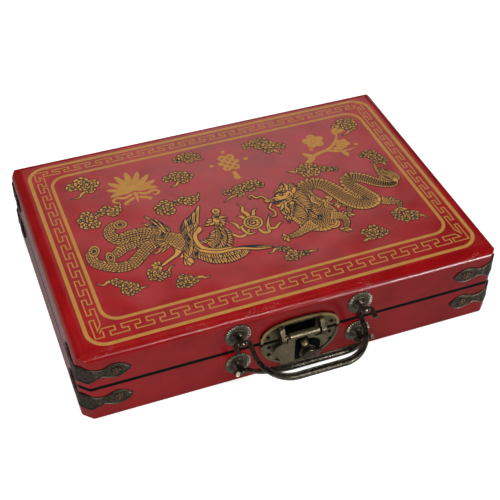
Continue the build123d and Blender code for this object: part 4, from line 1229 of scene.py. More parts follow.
def lacquer_finish(tree, shader):
    """Red lacquered leatherette: clouded colour, fine grain, slow waves, worn edges, black laps at
    the seam and painted shade behind the latch.
    """
    tint = colours()
    body = mix_colour(tree, effect(tree, "mottle", scale=9.0, low=0.40, high=0.60),
                      tint.lacquer, tint.lacquer_dark)
    speck = effect(tree, "mottle", scale=420.0, low=0.60, high=0.66)
    dusty = mix_colour(tree, remap(tree, speck, 0.0, 1.0, 0.0, 0.05), body, (0.55, 0.20, 0.18))
    worn = mix_colour(tree, worn_edge_mask(tree), dusty, (0.80, 0.58, 0.55))
    cloud = effect(tree, "mottle", scale=30.0, low=0.3, high=0.7)
    fill(tree, shader, {"Base Color": mix_colour(tree, black_lap_and_latch_shade_mask(tree), worn, grey(0.004)),
                        "Roughness": remap(tree, cloud, 0.0, 1.0, 0.13, 0.21), "IOR": 1.45})
    waves = node(tree, "ShaderNodeBump", {"Height": noise(tree, position(tree), 26.0, 1.0),
                                          "Distance": 0.0012})
    bump(tree, shader, grain(tree), 0.00003, Normal=waves.outputs[0])


def black_lap_and_latch_shade_mask(tree):
    """Black edging that laps each rim, and painted shade behind the latch: two bands of heights.

    The band of painted shade is the taller one; it counts only at the front, and only between the
    ends of the latch's plate.
    """
    low, high = BASE_HIGH.z, COVER_LOW.z
    lap = effect(tree, "height_band", low=low - LAP * MM, high=high + LAP * MM, soft=0.1 * MM)
    # painted shade: black on the cover in the gap between the latch's plates, where shade falls
    painted_latch_shade = effect(tree, "height_band", low=low - LATCH_SHADE * MM, high=high + MM,
                     soft=0.2 * MM)
    start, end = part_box("latch_upper_plate")
    for axis, edge, inward in (("X", start.x, MM), ("X", end.x, -MM),
                               ("Y", -(HALF_Y - 2.0) * MM, -MM)):
        near = remap(tree, coordinate(tree, axis), edge + inward, edge + 1.4 * inward)
        painted_latch_shade = maths(tree, "MULTIPLY", painted_latch_shade, near)
    return maths(tree, "MAXIMUM", lap, painted_latch_shade)


def worn_edge_mask(tree):
    """Pale cracks where the top rounds over: scratches inside a band of heights."""
    band = effect(tree, "height_band", low=(TOP_Z - WORN_DEPTH) * MM, high=(TOP_Z + 0.2) * MM,
                  soft=0.8 * MM)
    cracks = effect(tree, "scratches", scale=95.0, width=0.005, amount=0.60)
    start, end = (-(HALF_Y - inset) * MM for inset in WORN_FRONT)
    front = remap(tree, coordinate(tree, "Y"), start, end)
    return maths(tree, "MULTIPLY", maths(tree, "MULTIPLY", band, cracks), front)


def gold_finish(tree, shader, strength=1.0):
    """Matt gold print, thin in places so that the red shows through."""
    tint = shade(colours().gold, strength)
    full = mix_colour(tree, effect(tree, "mottle", scale=160.0, low=0.38, high=0.62),
                      tint, shade(tint, 0.80))
    thin = effect(tree, "mottle", scale=600.0, low=0.58, high=0.70)
    rubbed = remap(tree, thin, 0.0, 1.0, 0.0, 0.55)
    fill(tree, shader, {"Base Color": mix_colour(tree, rubbed, full, (0.33, 0.05, 0.03)),
                        "Roughness": 0.42, "Specular IOR Level": 0.3})
    bump(tree, shader, grain(tree), 0.00005)


def ink_finish(tree, shader):
    """Blue-black printing ink."""
    tint = colours().ink
    cloud = effect(tree, "mottle", scale=200.0, low=0.40, high=0.60)
    fill(tree, shader, {"Base Color": mix_colour(tree, cloud, tint, shade(tint, 2.0)),
                        "Roughness": 0.45, "Specular IOR Level": 0.2})
    bump(tree, shader, grain(tree), 0.00005)


def metal_finish(tree, shader, high, low, balance, scale=140.0, rough=(0.28, 0.5), scratch=0.6,
          pits=0.00004, relief=0.0, depths=()):
    """Aged metal: bright and dark tones clouded together, with fine scratches and pitting.

    high and low are colours, or names of colours on the panel. relief is the share of the
    tone that follows the piece's own relief attribute; depths gives colours that take over
    between two places along Y, in millimetres.
    """
    high, low = (getattr(colours(), tone) if isinstance(tone, str) else tone
                 for tone in (high, low))
    cloud = effect(tree, "mottle", scale=scale, low=balance[0], high=balance[1])
    if relief:
        stands = node(tree, "ShaderNodeAttribute", attribute_name="relief").outputs["Fac"]
        cloud = mix_value(tree, relief, cloud, stands)
    tone = mix_colour(tree, cloud, low, high)
    for start, end, colour in depths:
        share = remap(tree, coordinate(tree, "Y"), start * MM, end * MM)
        tone = mix_colour(tree, share, tone, colour)
    cuts = effect(tree, "scratches", scale=170.0, width=0.02, amount=scratch)
    bright = tuple(min(1.0, 1.45 * channel + 0.03) for channel in high)
    fill(tree, shader,
         {"Base Color": mix_colour(tree, remap(tree, cuts, 0.0, 1.0, 0.0, 0.5), tone, bright),
          "Roughness": remap(tree, cloud, 0.0, 1.0, rough[1], rough[0]), "Metallic": 0.92})
    bump(tree, shader, effect(tree, "mottle", scale=900.0, low=0.3, high=0.7), pits)


def tape_finish(tree, shader):
    """Black edging tape: faint weave and dust."""
    dust = effect(tree, "mottle", scale=90.0, low=0.45, high=0.75)
    fill(tree, shader, {"Base Color": mix_colour(tree, dust, grey(0.003), (0.009, 0.008, 0.008)),
                        "Roughness": 0.7, "Specular IOR Level": 0.1})
    bump(tree, shader, effect(tree, "leather_grain", scale=1200.0, cells=0.2), 0.00008)


def pine_finish(tree, shader):
    """Pine board: rings stretched along X, with darker pores."""
    grain_place = node(tree, "ShaderNodeMapping",
                       {"Vector": position(tree), "Scale": (1.2, 14.0, 14.0)}).outputs[0]
    warp = noise(tree, grain_place, 5.0, 3.0, Distortion=0.6)
    rings = node(tree, "ShaderNodeTexWave",
                 {"Vector": grain_place, "Scale": 6.0, "Distortion": 5.0, "Detail": 3.0},
                 wave_type="RINGS")
    both = maths(tree, "MULTIPLY", rings.outputs["Fac"], warp)
    tone = mix_colour(tree, remap(tree, both, 0.1, 0.7), (0.42, 0.25, 0.12), (0.66, 0.46, 0.26))
    fill(tree, shader, {"Base Color": tone, "Roughness": 0.68})
    bump(tree, shader, both, 0.0002)


def flock_finish(tree, shader):
    """Red flocked card lining."""
    nap = effect(tree, "mottle", scale=700.0, low=0.35, high=0.65)
    tone = mix_colour(tree, nap, (0.16, 0.006, 0.012), (0.26, 0.014, 0.024))
    fill(tree, shader, {"Base Color": tone, "Roughness": 0.9, "Sheen Weight": 0.4})
    bump(tree, shader, nap, 0.0003)


def tray_finish(tree, shader):
    """Black moulded tray with a fine spark texture and rubbed spots."""
    rub = effect(tree, "mottle", scale=50.0, low=0.50, high=0.75)
    tone = mix_colour(tree, rub, (0.012, 0.012, 0.013), (0.05, 0.05, 0.052))
    fill(tree, shader, {"Base Color": tone, "Roughness": remap(tree, rub, 0.0, 1.0, 0.42, 0.6)})
    bump(tree, shader, effect(tree, "mottle", scale=1500.0, low=0.2, high=0.8), 0.00006)


FLOOR_GLOW = 0.62         # floor's own light towards the camera; 1 from GLOW_FAR metres on
GLOW_NEAR = 0.8
GLOW_FAR = 2.0
MIRRORED_GLOW = 0.04      # floor's own light and tone in reflections
MIRRORED_FLOOR = 0.32


def floor_finish(tree, shader):
    """Pale floor: matt, with light of its own towards the camera and in reflections."""
    fleck = effect(tree, "mottle", scale=5.0, low=0.2, high=0.8)
    pale = mix_colour(tree, fleck, grey(0.78), grey(0.80))
    away = node(tree, "ShaderNodeVectorMath", {0: position(tree)}, operation="LENGTH")
    seen = remap(tree, away.outputs["Value"], GLOW_NEAR, GLOW_FAR, FLOOR_GLOW, 1.0)
    path = node(tree, "ShaderNodeLightPath").outputs
    fill(tree, shader,
         {"Base Color": mix_colour(tree, path["Is Glossy Ray"], pale, grey(MIRRORED_FLOOR)),
          "Roughness": 0.9, "Specular IOR Level": 0.1})
    mirrored = maths(tree, "ADD", path["Is Glossy Ray"], path["Is Transmission Ray"],
                     use_clamp=True)
    faint = maths(tree, "MULTIPLY", mirrored, MIRRORED_GLOW)
    glow = node(tree, "ShaderNodeEmission",
                {"Color": (1.0, 1.0, 1.0, 1.0),
                 "Strength": mix_value(tree, path["Is Camera Ray"], faint, seen)})
    both = node(tree, "ShaderNodeAddShader", {0: shader.outputs[0], 1: glow.outputs[0]})
    tree.links.new(both.outputs[0], tree.nodes["Material Output"].inputs["Surface"])


# Recipes by the name of the finish, with their settings.
FINISHES = {
    "red_leatherette": (lacquer_finish, {}),
    "border_gold": (gold_finish, {}),
    "figure_gold": (gold_finish, {"strength": 1.2}),     # laid on more thickly
    "ink_print": (ink_finish, {}),
    "black_edging": (tape_finish, {}),
    "pine_board": (pine_finish, {}),
    "red_flock": (flock_finish, {}),
    "black_tray": (tray_finish, {}),
    "studio_floor": (floor_finish, {})}
METALS = {
    # straps and hinges
    "aged_bronze": dict(high="bronze", low="patina", scale=420.0, balance=(0.42, 0.60),
                        relief=0.5),
    # fluted plates: rubbed silvery, dark between the flutes
    "rosette_bronze": dict(high=(0.36, 0.32, 0.23), low=(0.045, 0.038, 0.028),
                           balance=(0.40, 0.66), relief=0.85),
    # flower heads: reddish with dark roots
    "nail_bronze": dict(high=(0.29, 0.17, 0.11), low=(0.008, 0.007, 0.006), scale=500.0,
                        balance=(0.42, 0.58), relief=0.75),
    # bails and posts: nearly black, bright only where hands rub
    "dark_bronze": dict(high=(0.31, 0.26, 0.19), low=(0.048, 0.041, 0.033), scale=60.0,
                        balance=(0.40, 0.70), rough=(0.22, 0.34), scratch=0.72, pits=0.000012),
    # latch's upper plate: bright rims, an olive sheet, and a black hollow that is painted shade
    # over dark patina
    "plate_brass": dict(high=(0.27, 0.225, 0.12), low=(0.13, 0.105, 0.055),
                        balance=(0.30, 0.62), rough=(0.30, 0.46),
                        depths=((-127.75, -127.95, (0.56, 0.43, 0.19)),
                                # near black band: painted shade in the plate's hollow, over dark
                                # patina
                                (-127.1, -126.9, grey(0.005)))),
    # latch's flap and lower plate
    "olive_brass": dict(high=(0.33, 0.28, 0.165), low=(0.15, 0.12, 0.07),
                        balance=(0.30, 0.62), rough=(0.32, 0.48), scratch=0.45),
    # latch's ball
    "bright_brass": dict(high=(0.72, 0.58, 0.30), low=(0.44, 0.33, 0.15),
                         balance=(0.25, 0.60), rough=(0.2, 0.34)),
    # latch's lugs
    "lug_bronze": dict(high=(0.17, 0.135, 0.085), low=(0.055, 0.044, 0.028),
                       balance=(0.30, 0.66), rough=(0.30, 0.46)),
    # pins and the turning piece
    "worn_steel": dict(high=(0.17, 0.145, 0.105), low=(0.050, 0.042, 0.030),
                       balance=(0.30, 0.66), rough=(0.30, 0.46)),
    # inside the latch: black steel that also stands in for the shade in the recess; and the latch's
    # blackened nails
    "blackened_steel": dict(high=(0.030, 0.028, 0.026), low=grey(0.004),
                            balance=(0.45, 0.75), rough=(0.40, 0.6))}
FINISHES.update((name, (metal_finish, settings)) for name, settings in METALS.items())


def finish(name):
    """The named finish, made by its recipe when it is first asked for."""
    made = bpy.data.materials.get(name)
    if made is None:
        made = bpy.data.materials.new(name)
        made.use_nodes = True
        recipe, settings = FINISHES[name]
        recipe(made.node_tree, made.node_tree.nodes["Principled BSDF"], **settings)
    return made


# ---- corner straps ----------------------------------------------------------------
STRAP_REACH = 41.5        # corner to the leaf's tip
STRAP_SHEET = 1.0         # solid's thickness
CORNER_LEG = 8.0          # cut corner of the case
CORNER_SOFTENING = 4.0    # rounding where the cut meets the faces
# The strap's half height by distance from the corner: root, neck, leaf and tip.
STRAP_HALF = ((0.0, 8.9), (5.0, 8.6), (9.7, 7.2), (14.0, 5.3), (17.5, 4.6), (20.5, 5.2),
              (24.0, 6.9), (27.0, 7.7), (29.5, 7.8), (33.5, 7.0), (37.5, 4.6), (40.3, 1.9),
              (41.3, 0.7), (41.5, 0.12))
STRAP_LENGTHWAYS = 151    # points of its grid
STRAP_ACROSS = 35
LEAF_START = 21.0         # corner to where the scrolled body ends and the leaf begins
VEIN_ROOT = 19.0          # corner to the point that the leaf's veins fan out from
VEINS = 12.0              # veins in a whole turn about that point
DISH = (29.5, 4.6)        # corner to the middle of the leaf's dish, and its radius
CURLS = (13.0, 2.4, 1.4)  # corner to the curls, their height off the middle, their radius
SCROLL_PITCH = 5.6
SHEET_DROP = 0.35         # plain sheet lies this far below the solid's face
EDGE_ROUND = 0.5          # outline comes down to the case over this distance
FACET_HALF = CORNER_LEG / math.sqrt(2) - CORNER_SOFTENING * math.tan(math.pi / 8)
CORNER_HALF = FACET_HALF + CORNER_SOFTENING * math.pi / 4
CORNER_INSET = CORNER_LEG + CORNER_SOFTENING * math.tan(math.pi / 8)


def rising(value, start, width):
    """0 before the start and 1 beyond the width, even between; a negative width turns it."""
    return np.clip((value - start) / width, 0, 1)


def ridge(value, middle, width):
    """1 at the middle, falling away over the width on both sides."""
    return np.exp(-((value - middle) / width) ** 2)


def cut_corner(reach, lift):
    """Point round the front right corner by signed distance from its middle, lifted outward.

    The path is the flat cut, then an arc of an eighth of a turn, then the face. It is
    worked out along the cut and across it, and turned by 45 degrees into place.
    """
    size = np.abs(reach)
    turn = np.clip((size - FACET_HALF) / CORNER_SOFTENING, 0, math.pi / 4)
    beyond = np.maximum(size - CORNER_HALF, 0) * math.sqrt(0.5)
    along = (np.minimum(size, FACET_HALF) + CORNER_SOFTENING * np.sin(turn) + beyond
             + lift * np.sin(turn)) * np.where(reach < 0, -1, 1)
    out = lift * np.cos(turn) - CORNER_SOFTENING * (1 - np.cos(turn)) - beyond
    return (HALF_X - CORNER_LEG / 2 + (along + out) * math.sqrt(0.5),
            CORNER_LEG / 2 - HALF_Y + (along - out) * math.sqrt(0.5))


def strap_surface(centre_z):
    """Strap over the front right corner: a sheet whose height follows rim, veins and dish.

    Along it runs the signed distance, across it a share from -1 to 1. The height is the
    sheet, plus a bead near each edge, plus veins that fan through the leaf round a dish,
    plus scrolls on the body, all fading at the outline so the edge comes down to the case.
    Gives the points and how high each stands in the relief, from 0 to 1.
    """
    total = CORNER_HALF + STRAP_REACH - CORNER_INSET
    even = np.linspace(-1, 1, STRAP_LENGTHWAYS)
    along = total * (0.3 * np.sin(even * math.pi / 2) + 0.7 * even)
    size = np.abs(along)
    inward = np.where(size > CORNER_HALF, CORNER_INSET + size - CORNER_HALF,
                      CORNER_INSET * size / CORNER_HALF)
    half = smooth_curve(STRAP_HALF, 140)
    half_height = np.interp(inward, half[:, 0], half[:, 1])
    across = np.sin(np.linspace(-math.pi / 2, math.pi / 2, STRAP_ACROSS))
    reach, share = np.meshgrid(along, across, indexing="ij")
    height = half_height[:, None]
    z = height * share
    edge = height * (1 - np.abs(share))
    inner = inward[:, None]
    bead = ridge(edge, 0.85, 0.5)
    groove = ridge(edge, 1.75, 0.4)
    veins = 0.5 + 0.5 * np.cos(VEINS * np.arctan2(z, inner - VEIN_ROOT))
    leaf_zone = rising(inner, LEAF_START, 3.0) * rising(edge, 1.6, 1.0)
    dish = np.exp(-(((inner - DISH[0]) ** 2 + z ** 2) / DISH[1] ** 2) ** 2)
    body_zone = rising(inner, LEAF_START, -3.0) * rising(edge, 1.7, 0.9)
    scroll = 0.5 + 0.5 * np.cos(2 * math.pi * (inner / SCROLL_PITCH + 0.55 * np.sin(z * 0.8)))
    curl = ridge(np.hypot(inner - CURLS[0], np.abs(z) - CURLS[1]), CURLS[2], 0.45)
    relief = (0.9 * bead - 0.7 * groove + 0.8 * leaf_zone * veins * (1 - dish)
              + body_zone * (0.6 * scroll + 0.5 * curl) - 0.25 * dish)
    lift = STRAP_SHEET - SHEET_DROP + sizes().strap_relief / MM * relief
    lift = np.maximum(lift * np.sqrt(1 - (1 - rising(edge, 0, EDGE_ROUND)) ** 2), 0.0)
    x, y = cut_corner(reach, lift)
    return np.stack([x, y, centre_z + z], axis=-1), reach, np.clip(relief, 0, 1)


def capped_patch(points, relief):
    """Patch of closed rings, one per row of points, with a face over each end."""
    rows, around = points.shape[:2]
    patch = Patch()
    patch.add(points, grid_faces(rows, around, wrap=True), relief)
    ring = list(range(around))
    patch.faces += [ring[::-1], [(rows - 1) * around + corner for corner in ring]]
    return patch


def strap_patch(centre_z, across_x, across_y):
    """Closed strap for any corner: the relief in front, and a back face against the case."""
    points, reach, relief = strap_surface(centre_z)
    x, y = cut_corner(reach, np.zeros_like(reach))
    behind = np.stack([x, y, points[..., 2]], axis=-1)
    around = np.concatenate([points, behind[:, ::-1]], axis=1)
    return capped_patch(around * [-1 if across_x else 1, -1 if across_y else 1, 1],
                        np.concatenate([relief, relief[:, ::-1]], axis=1))


# ---- round fittings ---------------------------------------------------------------
def dome_patch(origin, outward, rings, wave, around):
    """Round relief on a vertical face: rings of (radius, height, relief) about its normal.

    wave(radius, angle) returns what it adds to the radius, the height and the relief. The
    first ring lies on the face; the last closes.
    """
    outward = np.array(outward, float)
    up = np.array([0.0, 0.0, 1.0])
    angle = np.linspace(0, 2 * math.pi, around, endpoint=False)[None]
    radius, height, relief = (column[:, None] + 0 * angle for column in np.array(rings).T)
    more_radius, more_height, more_relief = wave(radius, angle)
    radius = radius + more_radius
    points = (np.array(origin) + (radius * np.cos(angle))[..., None] * np.cross(up, outward)
              + (radius * np.sin(angle))[..., None] * up
              + (height + more_height)[..., None] * outward)
    return capped_patch(points, np.clip(relief + more_relief, 0, 1))


# Both profiles run from the face to the middle, in rings of (radius, height, relief).
NAIL_RINGS = (
    (3.3, 0.0, 0.3), (3.32, 0.28, 0.4), (3.2, 0.46, 0.6), (2.9, 0.6, 0.7), (2.4, 0.62, 0.6),
    (2.0, 0.48, 0.2), (1.7, 0.3, 0.0), (1.5, 0.55, 0.2), (1.3, 0.85, 0.6), (0.95, 1.0, 0.9),
    (0.5, 1.05, 1.0), (0.12, 1.05, 1.0))
NAIL_PETALS = 8
NAIL_INSET = 29.5         # corner to a nail's middle
NAIL_SUNK = 0.3           # how far a nail's foot reaches into the strap
ROSETTE_RINGS = (
    (10.95, 0.0, 0.5), (10.95, 0.55, 0.7), (10.75, 0.85, 0.85), (10.3, 1.05, 0.8),
    (9.7, 1.12, 0.6), (8.9, 1.15, 0.5), (8.0, 1.2, 0.45), (7.2, 1.24, 0.4), (6.7, 1.0, 0.0),
    (6.3, 1.0, 0.0), (5.8, 1.3, 0.35), (5.2, 1.38, 0.3), (3.0, 1.38, 0.1), (0.6, 1.38, 0.0))
ROSETTE_FLUTES = 30


def nail_wave(radius, angle):
    """Petals: the outline and the ring's height rise and fall eight times round."""
    petal = np.cos(NAIL_PETALS * angle)
    share = rising(radius, 1.2, 1.4)
    return (0.5 * petal * share, 0.2 * petal * share * rising(radius, 3.4, -0.5),
            0.4 * petal * share)


def strap_nails_patch(centre_z):
    """Eight flower heads, petals round a raised middle: two at each corner, one on each face."""
    patch = Patch()
    out = STRAP_SHEET - NAIL_SUNK
    for sx in (-1, 1):
        for sy in (-1, 1):
            for place, outward in (
                    ((sx * (HALF_X - NAIL_INSET), sy * (HALF_Y + out), centre_z), (0, sy, 0)),
                    ((sx * (HALF_X + out), sy * (HALF_Y - NAIL_INSET), centre_z), (sx, 0, 0))):
                patch.add_patch(dome_patch(place, outward, NAIL_RINGS, nail_wave, 48))
    return patch


def rosette_wave(radius, angle):
    """Flutes deepen outward and cut the rim into teeth."""
    flute = np.cos(ROSETTE_FLUTES * angle)
    share = rising(radius, 6.4, 2.0)
    rim = rising(radius, 9.4, 1.2)
    return (0.3 * flute * rim, 0.2 * flute * share * rising(radius, 11.3, -0.5),
            0.45 * flute * share)


def rosette_patch(x, z):
    """Fluted plate: rim, fluted slope, smooth ring and a dish round the post."""
    return dome_patch((x, -HALF_Y, z), (0, -1, 0), ROSETTE_RINGS, rosette_wave,
                      8 * ROSETTE_FLUTES)




# ---- stage ------------------------------------------------------------------------
# Places and sizes of the stage are in metres.
CAMERA_PLACE = (-0.249025, -0.660017, 0.655046)
CAMERA_AZIMUTH = -20.04   # degrees, as are the tilt below the horizon and the roll
CAMERA_TILT = 41.817
CAMERA_ROLL = -0.214
CAMERA_LENS = 76.10       # millimetres, as is the sensor
CAMERA_SENSOR = 36.0
CAMERA_SHIFT = (0.0307, -0.0083)
FLOOR_HALF = 6.0
FLOOR_DROP = 0.0002       # keeps the floor clear of the case's underside
# The world's light by direction: dim in front, a little brighter behind.
SKY_RANGE = (-0.2, 0.8)
SKY_STRENGTH = (0.0025, 0.0356)
WINDOW_DIRECTION = (0.27, 0.76, 0.585)
WINDOW_EDGE = 0.955       # cosine between the window's middle and its edge
WINDOW_STRENGTH = 1.68
# Lamps: name, place, point it faces, size, watts, and the rays that don't see it.
LAMPS = (
    ("top_light", (-0.1, -0.15, 1.5), (0.0, 0.0, 0.0), (1.4, 1.0), 20.0, "glossy"),
    ("front_fill", (-0.55, -1.4, 0.9), (0.0, 0.0, 0.03), (1.2, 0.8), 11.4, "glossy"),
    ("front_strip", (0.84, -1.4, 0.19), (0.1, -0.12, 0.06), (0.55, 0.12), 10.0, "diffuse"),
    ("front_spark", (0.25, -1.4, 0.75), (-0.1, -0.12, 0.06), (0.4, 0.12), 3.0, "diffuse"))


def studio_floor():
    """Square floor under the case."""
    mesh = bpy.data.meshes.new("floor")
    corners = [(x, y, 0) for x, y in ((-1, -1), (1, -1), (1, 1), (-1, 1))]
    mesh.from_pydata([Vector(corner) * FLOOR_HALF for corner in corners], [], [(0, 1, 2, 3)])
    mesh.materials.append(finish("studio_floor"))
    floor = place_in_scene("floor", mesh)
    floor.location.z = -FLOOR_DROP


def studio_world():
    """World: white to the camera; dim light from behind, and a bright window there."""
    world = bpy.data.worlds.new("studio_world")
    bpy.context.scene.world = world
    world.use_nodes = True
    tree = world.node_tree
    direction = node(tree, "ShaderNodeTexCoord").outputs["Generated"]
    y = node(tree, "ShaderNodeSeparateXYZ", {0: direction}).outputs["Y"]
    facing = node(tree, "ShaderNodeVectorMath", {0: direction, 1: WINDOW_DIRECTION},
                  operation="DOT_PRODUCT").outputs["Value"]
    light = maths(tree, "ADD", remap(tree, y, *SKY_RANGE, *SKY_STRENGTH),
                  remap(tree, facing, WINDOW_EDGE, 1.0, 0.0, WINDOW_STRENGTH))
    seen = node(tree, "ShaderNodeLightPath").outputs["Is Camera Ray"]
    fill(tree, tree.nodes["Background"], {"Color": (1.0, 1.0, 1.0, 1.0),
                                          "Strength": mix_value(tree, seen, light, 1.0)})


def softbox(name, place, target, size, energy, unseen_by):
    """Rectangular lamp that faces a point, left out of the glossy or the diffuse rays."""
    lamp = bpy.data.lights.new(name, "AREA")
    lamp.shape = "RECTANGLE"
    lamp.size, lamp.size_y = size
    lamp.energy = energy
    made = place_in_scene(name, lamp)
    made.location = place
    away = Vector(place) - Vector(target)
    made.rotation_euler = away.to_track_quat("Z", "Y").to_euler()
    setattr(made, "visible_" + unseen_by, False)


def studio_camera():
    """Camera in front of the case, above it and to its left: azimuth, then tilt, then roll."""
    lens = bpy.data.cameras.new("studio_camera")
    lens.lens = CAMERA_LENS
    lens.sensor_width = CAMERA_SENSOR
    lens.shift_x, lens.shift_y = CAMERA_SHIFT
    lens.clip_start = 0.05
    made = place_in_scene("studio_camera", lens)
    made.location = CAMERA_PLACE
    turn = Matrix.Rotation(math.radians(CAMERA_AZIMUTH), 4, "Z")
    tilt = Matrix.Rotation(math.radians(90.0 - CAMERA_TILT), 4, "X")
    roll = Matrix.Rotation(math.radians(CAMERA_ROLL), 4, "Z")
    made.rotation_euler = (turn @ tilt @ roll).to_euler()
    bpy.context.scene.camera = made


# ---- operators --------------------------------------------------------------------
STRAP_MERGE = 0.004       # points of a strap nearer than this become one
ROUND_MERGE = 0.002       # and of a nail or a rosette
ROUND_ANGLE = 60.0        # degrees; edges of round parts stay smooth up to here
COVER_ANGLE = 30.0
TAPE_BEVEL = 0.2
TRAY_BEVEL = 0.5
LUG_ROUNDING = 4          # lugs are rounded this many times more than other edges
SIDES = ("left", "right")
HALVES = ("base", "lid")


def relief_piece(node_name, ending, patch, look, merge):
    """Piece from a patch that takes a node's place and body."""
    piece = make_piece(node_name + ending, patch, look, BODY_OF[node_name],
                       merge)
    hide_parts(node_name)


def box_middle(node_name):
    """Middle of a node's box along X, Y and Z, in millimetres."""
    return [(low + high) / 2 / MM for low, high in zip(*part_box(node_name))]


class CaseOperator:
    """What the case's operators share: they act on the scene and report they are done."""
    bl_options = {"REGISTER", "UNDO"}

    def execute(self, context):
        self.make(context)
        return {"FINISHED"}


class FigureOperator(CaseOperator):
    """Prints one figure from the drawing functions that make it up."""
    gold = "figure_gold"

    def make(self, context):
        figure = Print()
        for drawing in self.drawings:
            drawing(figure)
        figure.pieces(self.figure, self.gold)


class MAHJONG_OT_border(CaseOperator, bpy.types.Operator):
    """Print the gold lines and the fret round the lid."""
    bl_idname = "mahjong.border"
    bl_label = "Lid border"

    def make(self, context):
        piece = make_piece("border_gold", border_patch(), "border_gold", "lid",
                           smooth=False)
        thick = piece.modifiers.new("thickness", "SOLIDIFY")
        thick.thickness = sizes().print_layer + FOOT * MM
        thick.offset = -1


class MAHJONG_OT_clouds(FigureOperator, bpy.types.Operator):
    """Print the scattered clouds."""
    bl_idname = "mahjong.clouds"
    bl_label = "Clouds"
    figure = "clouds"
    drawings = (draw_clouds,)


class MAHJONG_OT_dragon(FigureOperator, bpy.types.Operator):
    """Print the dragon on the right."""
    bl_idname = "mahjong.dragon"
    bl_label = "Dragon"
    figure = "dragon"
    drawings = (draw_dragon,)


class MAHJONG_OT_phoenix(FigureOperator, bpy.types.Operator):
    """Print the phoenix on the left."""
    bl_idname = "mahjong.phoenix"
    bl_label = "Phoenix"
    figure = "phoenix"
    drawings = (draw_phoenix,)


class MAHJONG_OT_pearl(FigureOperator, bpy.types.Operator):
    """Print the flaming pearl between the two."""
    bl_idname = "mahjong.pearl"
    bl_label = "Pearl"
    figure = "pearl"
    drawings = (draw_pearl,)


class MAHJONG_OT_ornaments(FigureOperator, bpy.types.Operator):
    """Print the lotus, the endless knot and the blossom at the back."""
    bl_idname = "mahjong.ornaments"
    bl_label = "Ornaments"
    figure = "ornaments"
    gold = "border_gold"
    drawings = (draw_lotus, draw_knot, draw_blossom)


class MAHJONG_OT_covers(CaseOperator, bpy.types.Operator):
    """Finish the covers and the black edging at the seam."""
    bl_idname = "mahjong.covers"
    bl_label = "Covers"

    def make(self, context):
        for name in ("lid_cover", "base_cover"):
            finished_copy(name, "red_leatherette", angle=COVER_ANGLE)
        for name in ("lid_edge_band", "base_edge_band"):
            finished_copy(name, "black_edging", bevel=TAPE_BEVEL * MM)


class MAHJONG_OT_boards(CaseOperator, bpy.types.Operator):
    """Finish the boards and the lining inside."""
    bl_idname = "mahjong.boards"
    bl_label = "Boards and lining"

    def make(self, context):
        looks = {"wood": "pine_board", "lining": "red_flock"}
        for name in frame["nodes"]:
            if SLOT_OF.get(name) in looks:
                paint(name, looks[SLOT_OF[name]])


class MAHJONG_OT_straps(CaseOperator, bpy.types.Operator):
    """Make the leaf-shaped corner straps with their relief."""
    bl_idname = "mahjong.straps"
    bl_label = "Corner straps"

    def make(self, context):
        for half in HALVES:
            centre_z = box_middle(f"{half}_strap_front_right")[2]
            for depth in ("front", "back"):
                for side in SIDES:
                    patch = strap_patch(centre_z, side == "left", depth == "back")
                    relief_piece(f"{half}_strap_{depth}_{side}", "_relief", patch, "aged_bronze",
                                 STRAP_MERGE)


class MAHJONG_OT_nails(CaseOperator, bpy.types.Operator):
    """Make the flower-headed nails of the straps."""
    bl_idname = "mahjong.nails"
    bl_label = "Strap nails"

    def make(self, context):
        for half in HALVES:
            name = f"{half}_strap_nails"
            relief_piece(name, "_flowers", strap_nails_patch(box_middle(name)[2]), "nail_bronze",
                         ROUND_MERGE)


class MAHJONG_OT_handles(CaseOperator, bpy.types.Operator):
    """Make the fluted rosettes and finish the posts and both bails."""
    bl_idname = "mahjong.handles"
    bl_label = "Handles"

    def make(self, context):
        for level in ("upper", "lower"):
            for side in SIDES:
                name = f"{level}_rosette_{side}"
                x, _, z = box_middle(name)
                relief_piece(name, "_fluted", rosette_patch(x, z), "rosette_bronze", ROUND_MERGE)
                finished_copy(f"{level}_post_{side}", "dark_bronze")
            finished_copy(f"{level}_bail", "dark_bronze", angle=ROUND_ANGLE)


class MAHJONG_OT_latch(CaseOperator, bpy.types.Operator):
    """Finish the latch: plates, lugs, flap, turning piece and its ball."""
    bl_idname = "mahjong.latch"
    bl_label = "Latch"

    def make(self, context):
        bevel = sizes().metal_bevel
        for part, look in (
                ("upper_plate", "plate_brass"), ("lower_plate", "olive_brass"),
                # the recess disc is dark steel, and its black also paints the shade inside the
                # latch's recess
                ("flap", "olive_brass"), ("recess_disc", "blackened_steel"),
                ("turn_cam", "worn_steel"), ("turn_knob", "worn_steel"),
                ("upper_nails", "blackened_steel"), ("lower_nails", "blackened_steel")):
            finished_copy(f"latch_{part}", look, bevel=bevel)
        for side in SIDES:
            finished_copy(f"latch_lug_{side}", "lug_bronze", bevel=LUG_ROUNDING * bevel)
        finished_copy("latch_ball_stud", "bright_brass", angle=ROUND_ANGLE)
        for part in ("hinge_pin", "turn_pivot"):
            finished_copy(f"latch_{part}", "worn_steel")


class MAHJONG_OT_hinges(CaseOperator, bpy.types.Operator):
    """Finish the rear hinges."""
    bl_idname = "mahjong.hinges"
    bl_label = "Rear hinges"

    def make(self, context):
        for side in SIDES:
            for half in HALVES:
                finished_copy(f"{half}_hinge_leaf_{side}", "aged_bronze",
                              bevel=sizes().metal_bevel)
        for half in HALVES:
            finished_copy(f"{half}_hinge_screws", "aged_bronze")
        finished_copy("hinge_pins", "worn_steel")


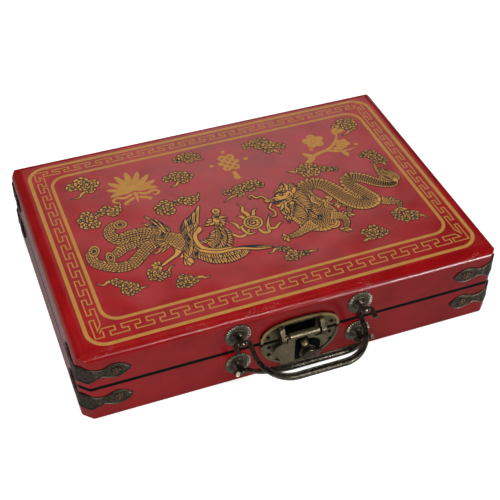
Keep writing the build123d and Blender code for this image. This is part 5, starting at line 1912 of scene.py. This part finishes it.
class MAHJONG_OT_trays(CaseOperator, bpy.types.Operator):
    """Finish the four tile trays."""
    bl_idname = "mahjong.trays"
    bl_label = "Tile trays"

    def make(self, context):
        for number in range(1, 5):
            finished_copy(f"tile_tray_{number}", "black_tray", bevel=TRAY_BEVEL * MM)


class MAHJONG_OT_stage(CaseOperator, bpy.types.Operator):
    """Set the floor, the lamps, the world and the camera."""
    bl_idname = "mahjong.stage"
    bl_label = "Studio"

    def make(self, context):
        studio_floor()
        studio_world()
        for lamp in LAMPS:
            softbox(*lamp)
        studio_camera()
        context.scene.view_settings.view_transform = "Standard"


OPERATORS = (
    MAHJONG_OT_border, MAHJONG_OT_clouds, MAHJONG_OT_dragon, MAHJONG_OT_phoenix,
    MAHJONG_OT_pearl, MAHJONG_OT_ornaments, MAHJONG_OT_covers, MAHJONG_OT_boards,
    MAHJONG_OT_straps, MAHJONG_OT_nails, MAHJONG_OT_handles, MAHJONG_OT_latch,
    MAHJONG_OT_hinges, MAHJONG_OT_trays, MAHJONG_OT_stage)


class MAHJONG_PT_case(bpy.types.Panel):
    """Panel that lists the case's pieces, sizes and colours."""
    bl_idname = "MAHJONG_PT_case"
    bl_label = "Mahjong Case"
    bl_space_type = "VIEW_3D"
    bl_region_type = "UI"
    bl_category = "Mahjong Case"

    def draw(self, context):
        for operator in OPERATORS:
            self.layout.operator(operator.bl_idname)
        for group_name in ("mahjong_sizes", "mahjong_colours"):
            owner = getattr(context.scene, group_name)
            for key in owner.__annotations__:
                self.layout.prop(owner, key)


CLASSES = (CaseSizes, CaseColours) + OPERATORS + (MAHJONG_PT_case,)


def register():
    for each in CLASSES:
        bpy.utils.register_class(each)
    bpy.types.Scene.mahjong_sizes = bpy.props.PointerProperty(type=CaseSizes)
    bpy.types.Scene.mahjong_colours = bpy.props.PointerProperty(type=CaseColours)


def unregister():
    del bpy.types.Scene.mahjong_colours
    del bpy.types.Scene.mahjong_sizes
    for each in reversed(CLASSES):
        bpy.utils.unregister_class(each)


def main():
    register()
    for operator in OPERATORS:
        family, action = operator.bl_idname.split(".")
        getattr(getattr(bpy.ops, family), action)()


if __name__ == "__main__":
    main()
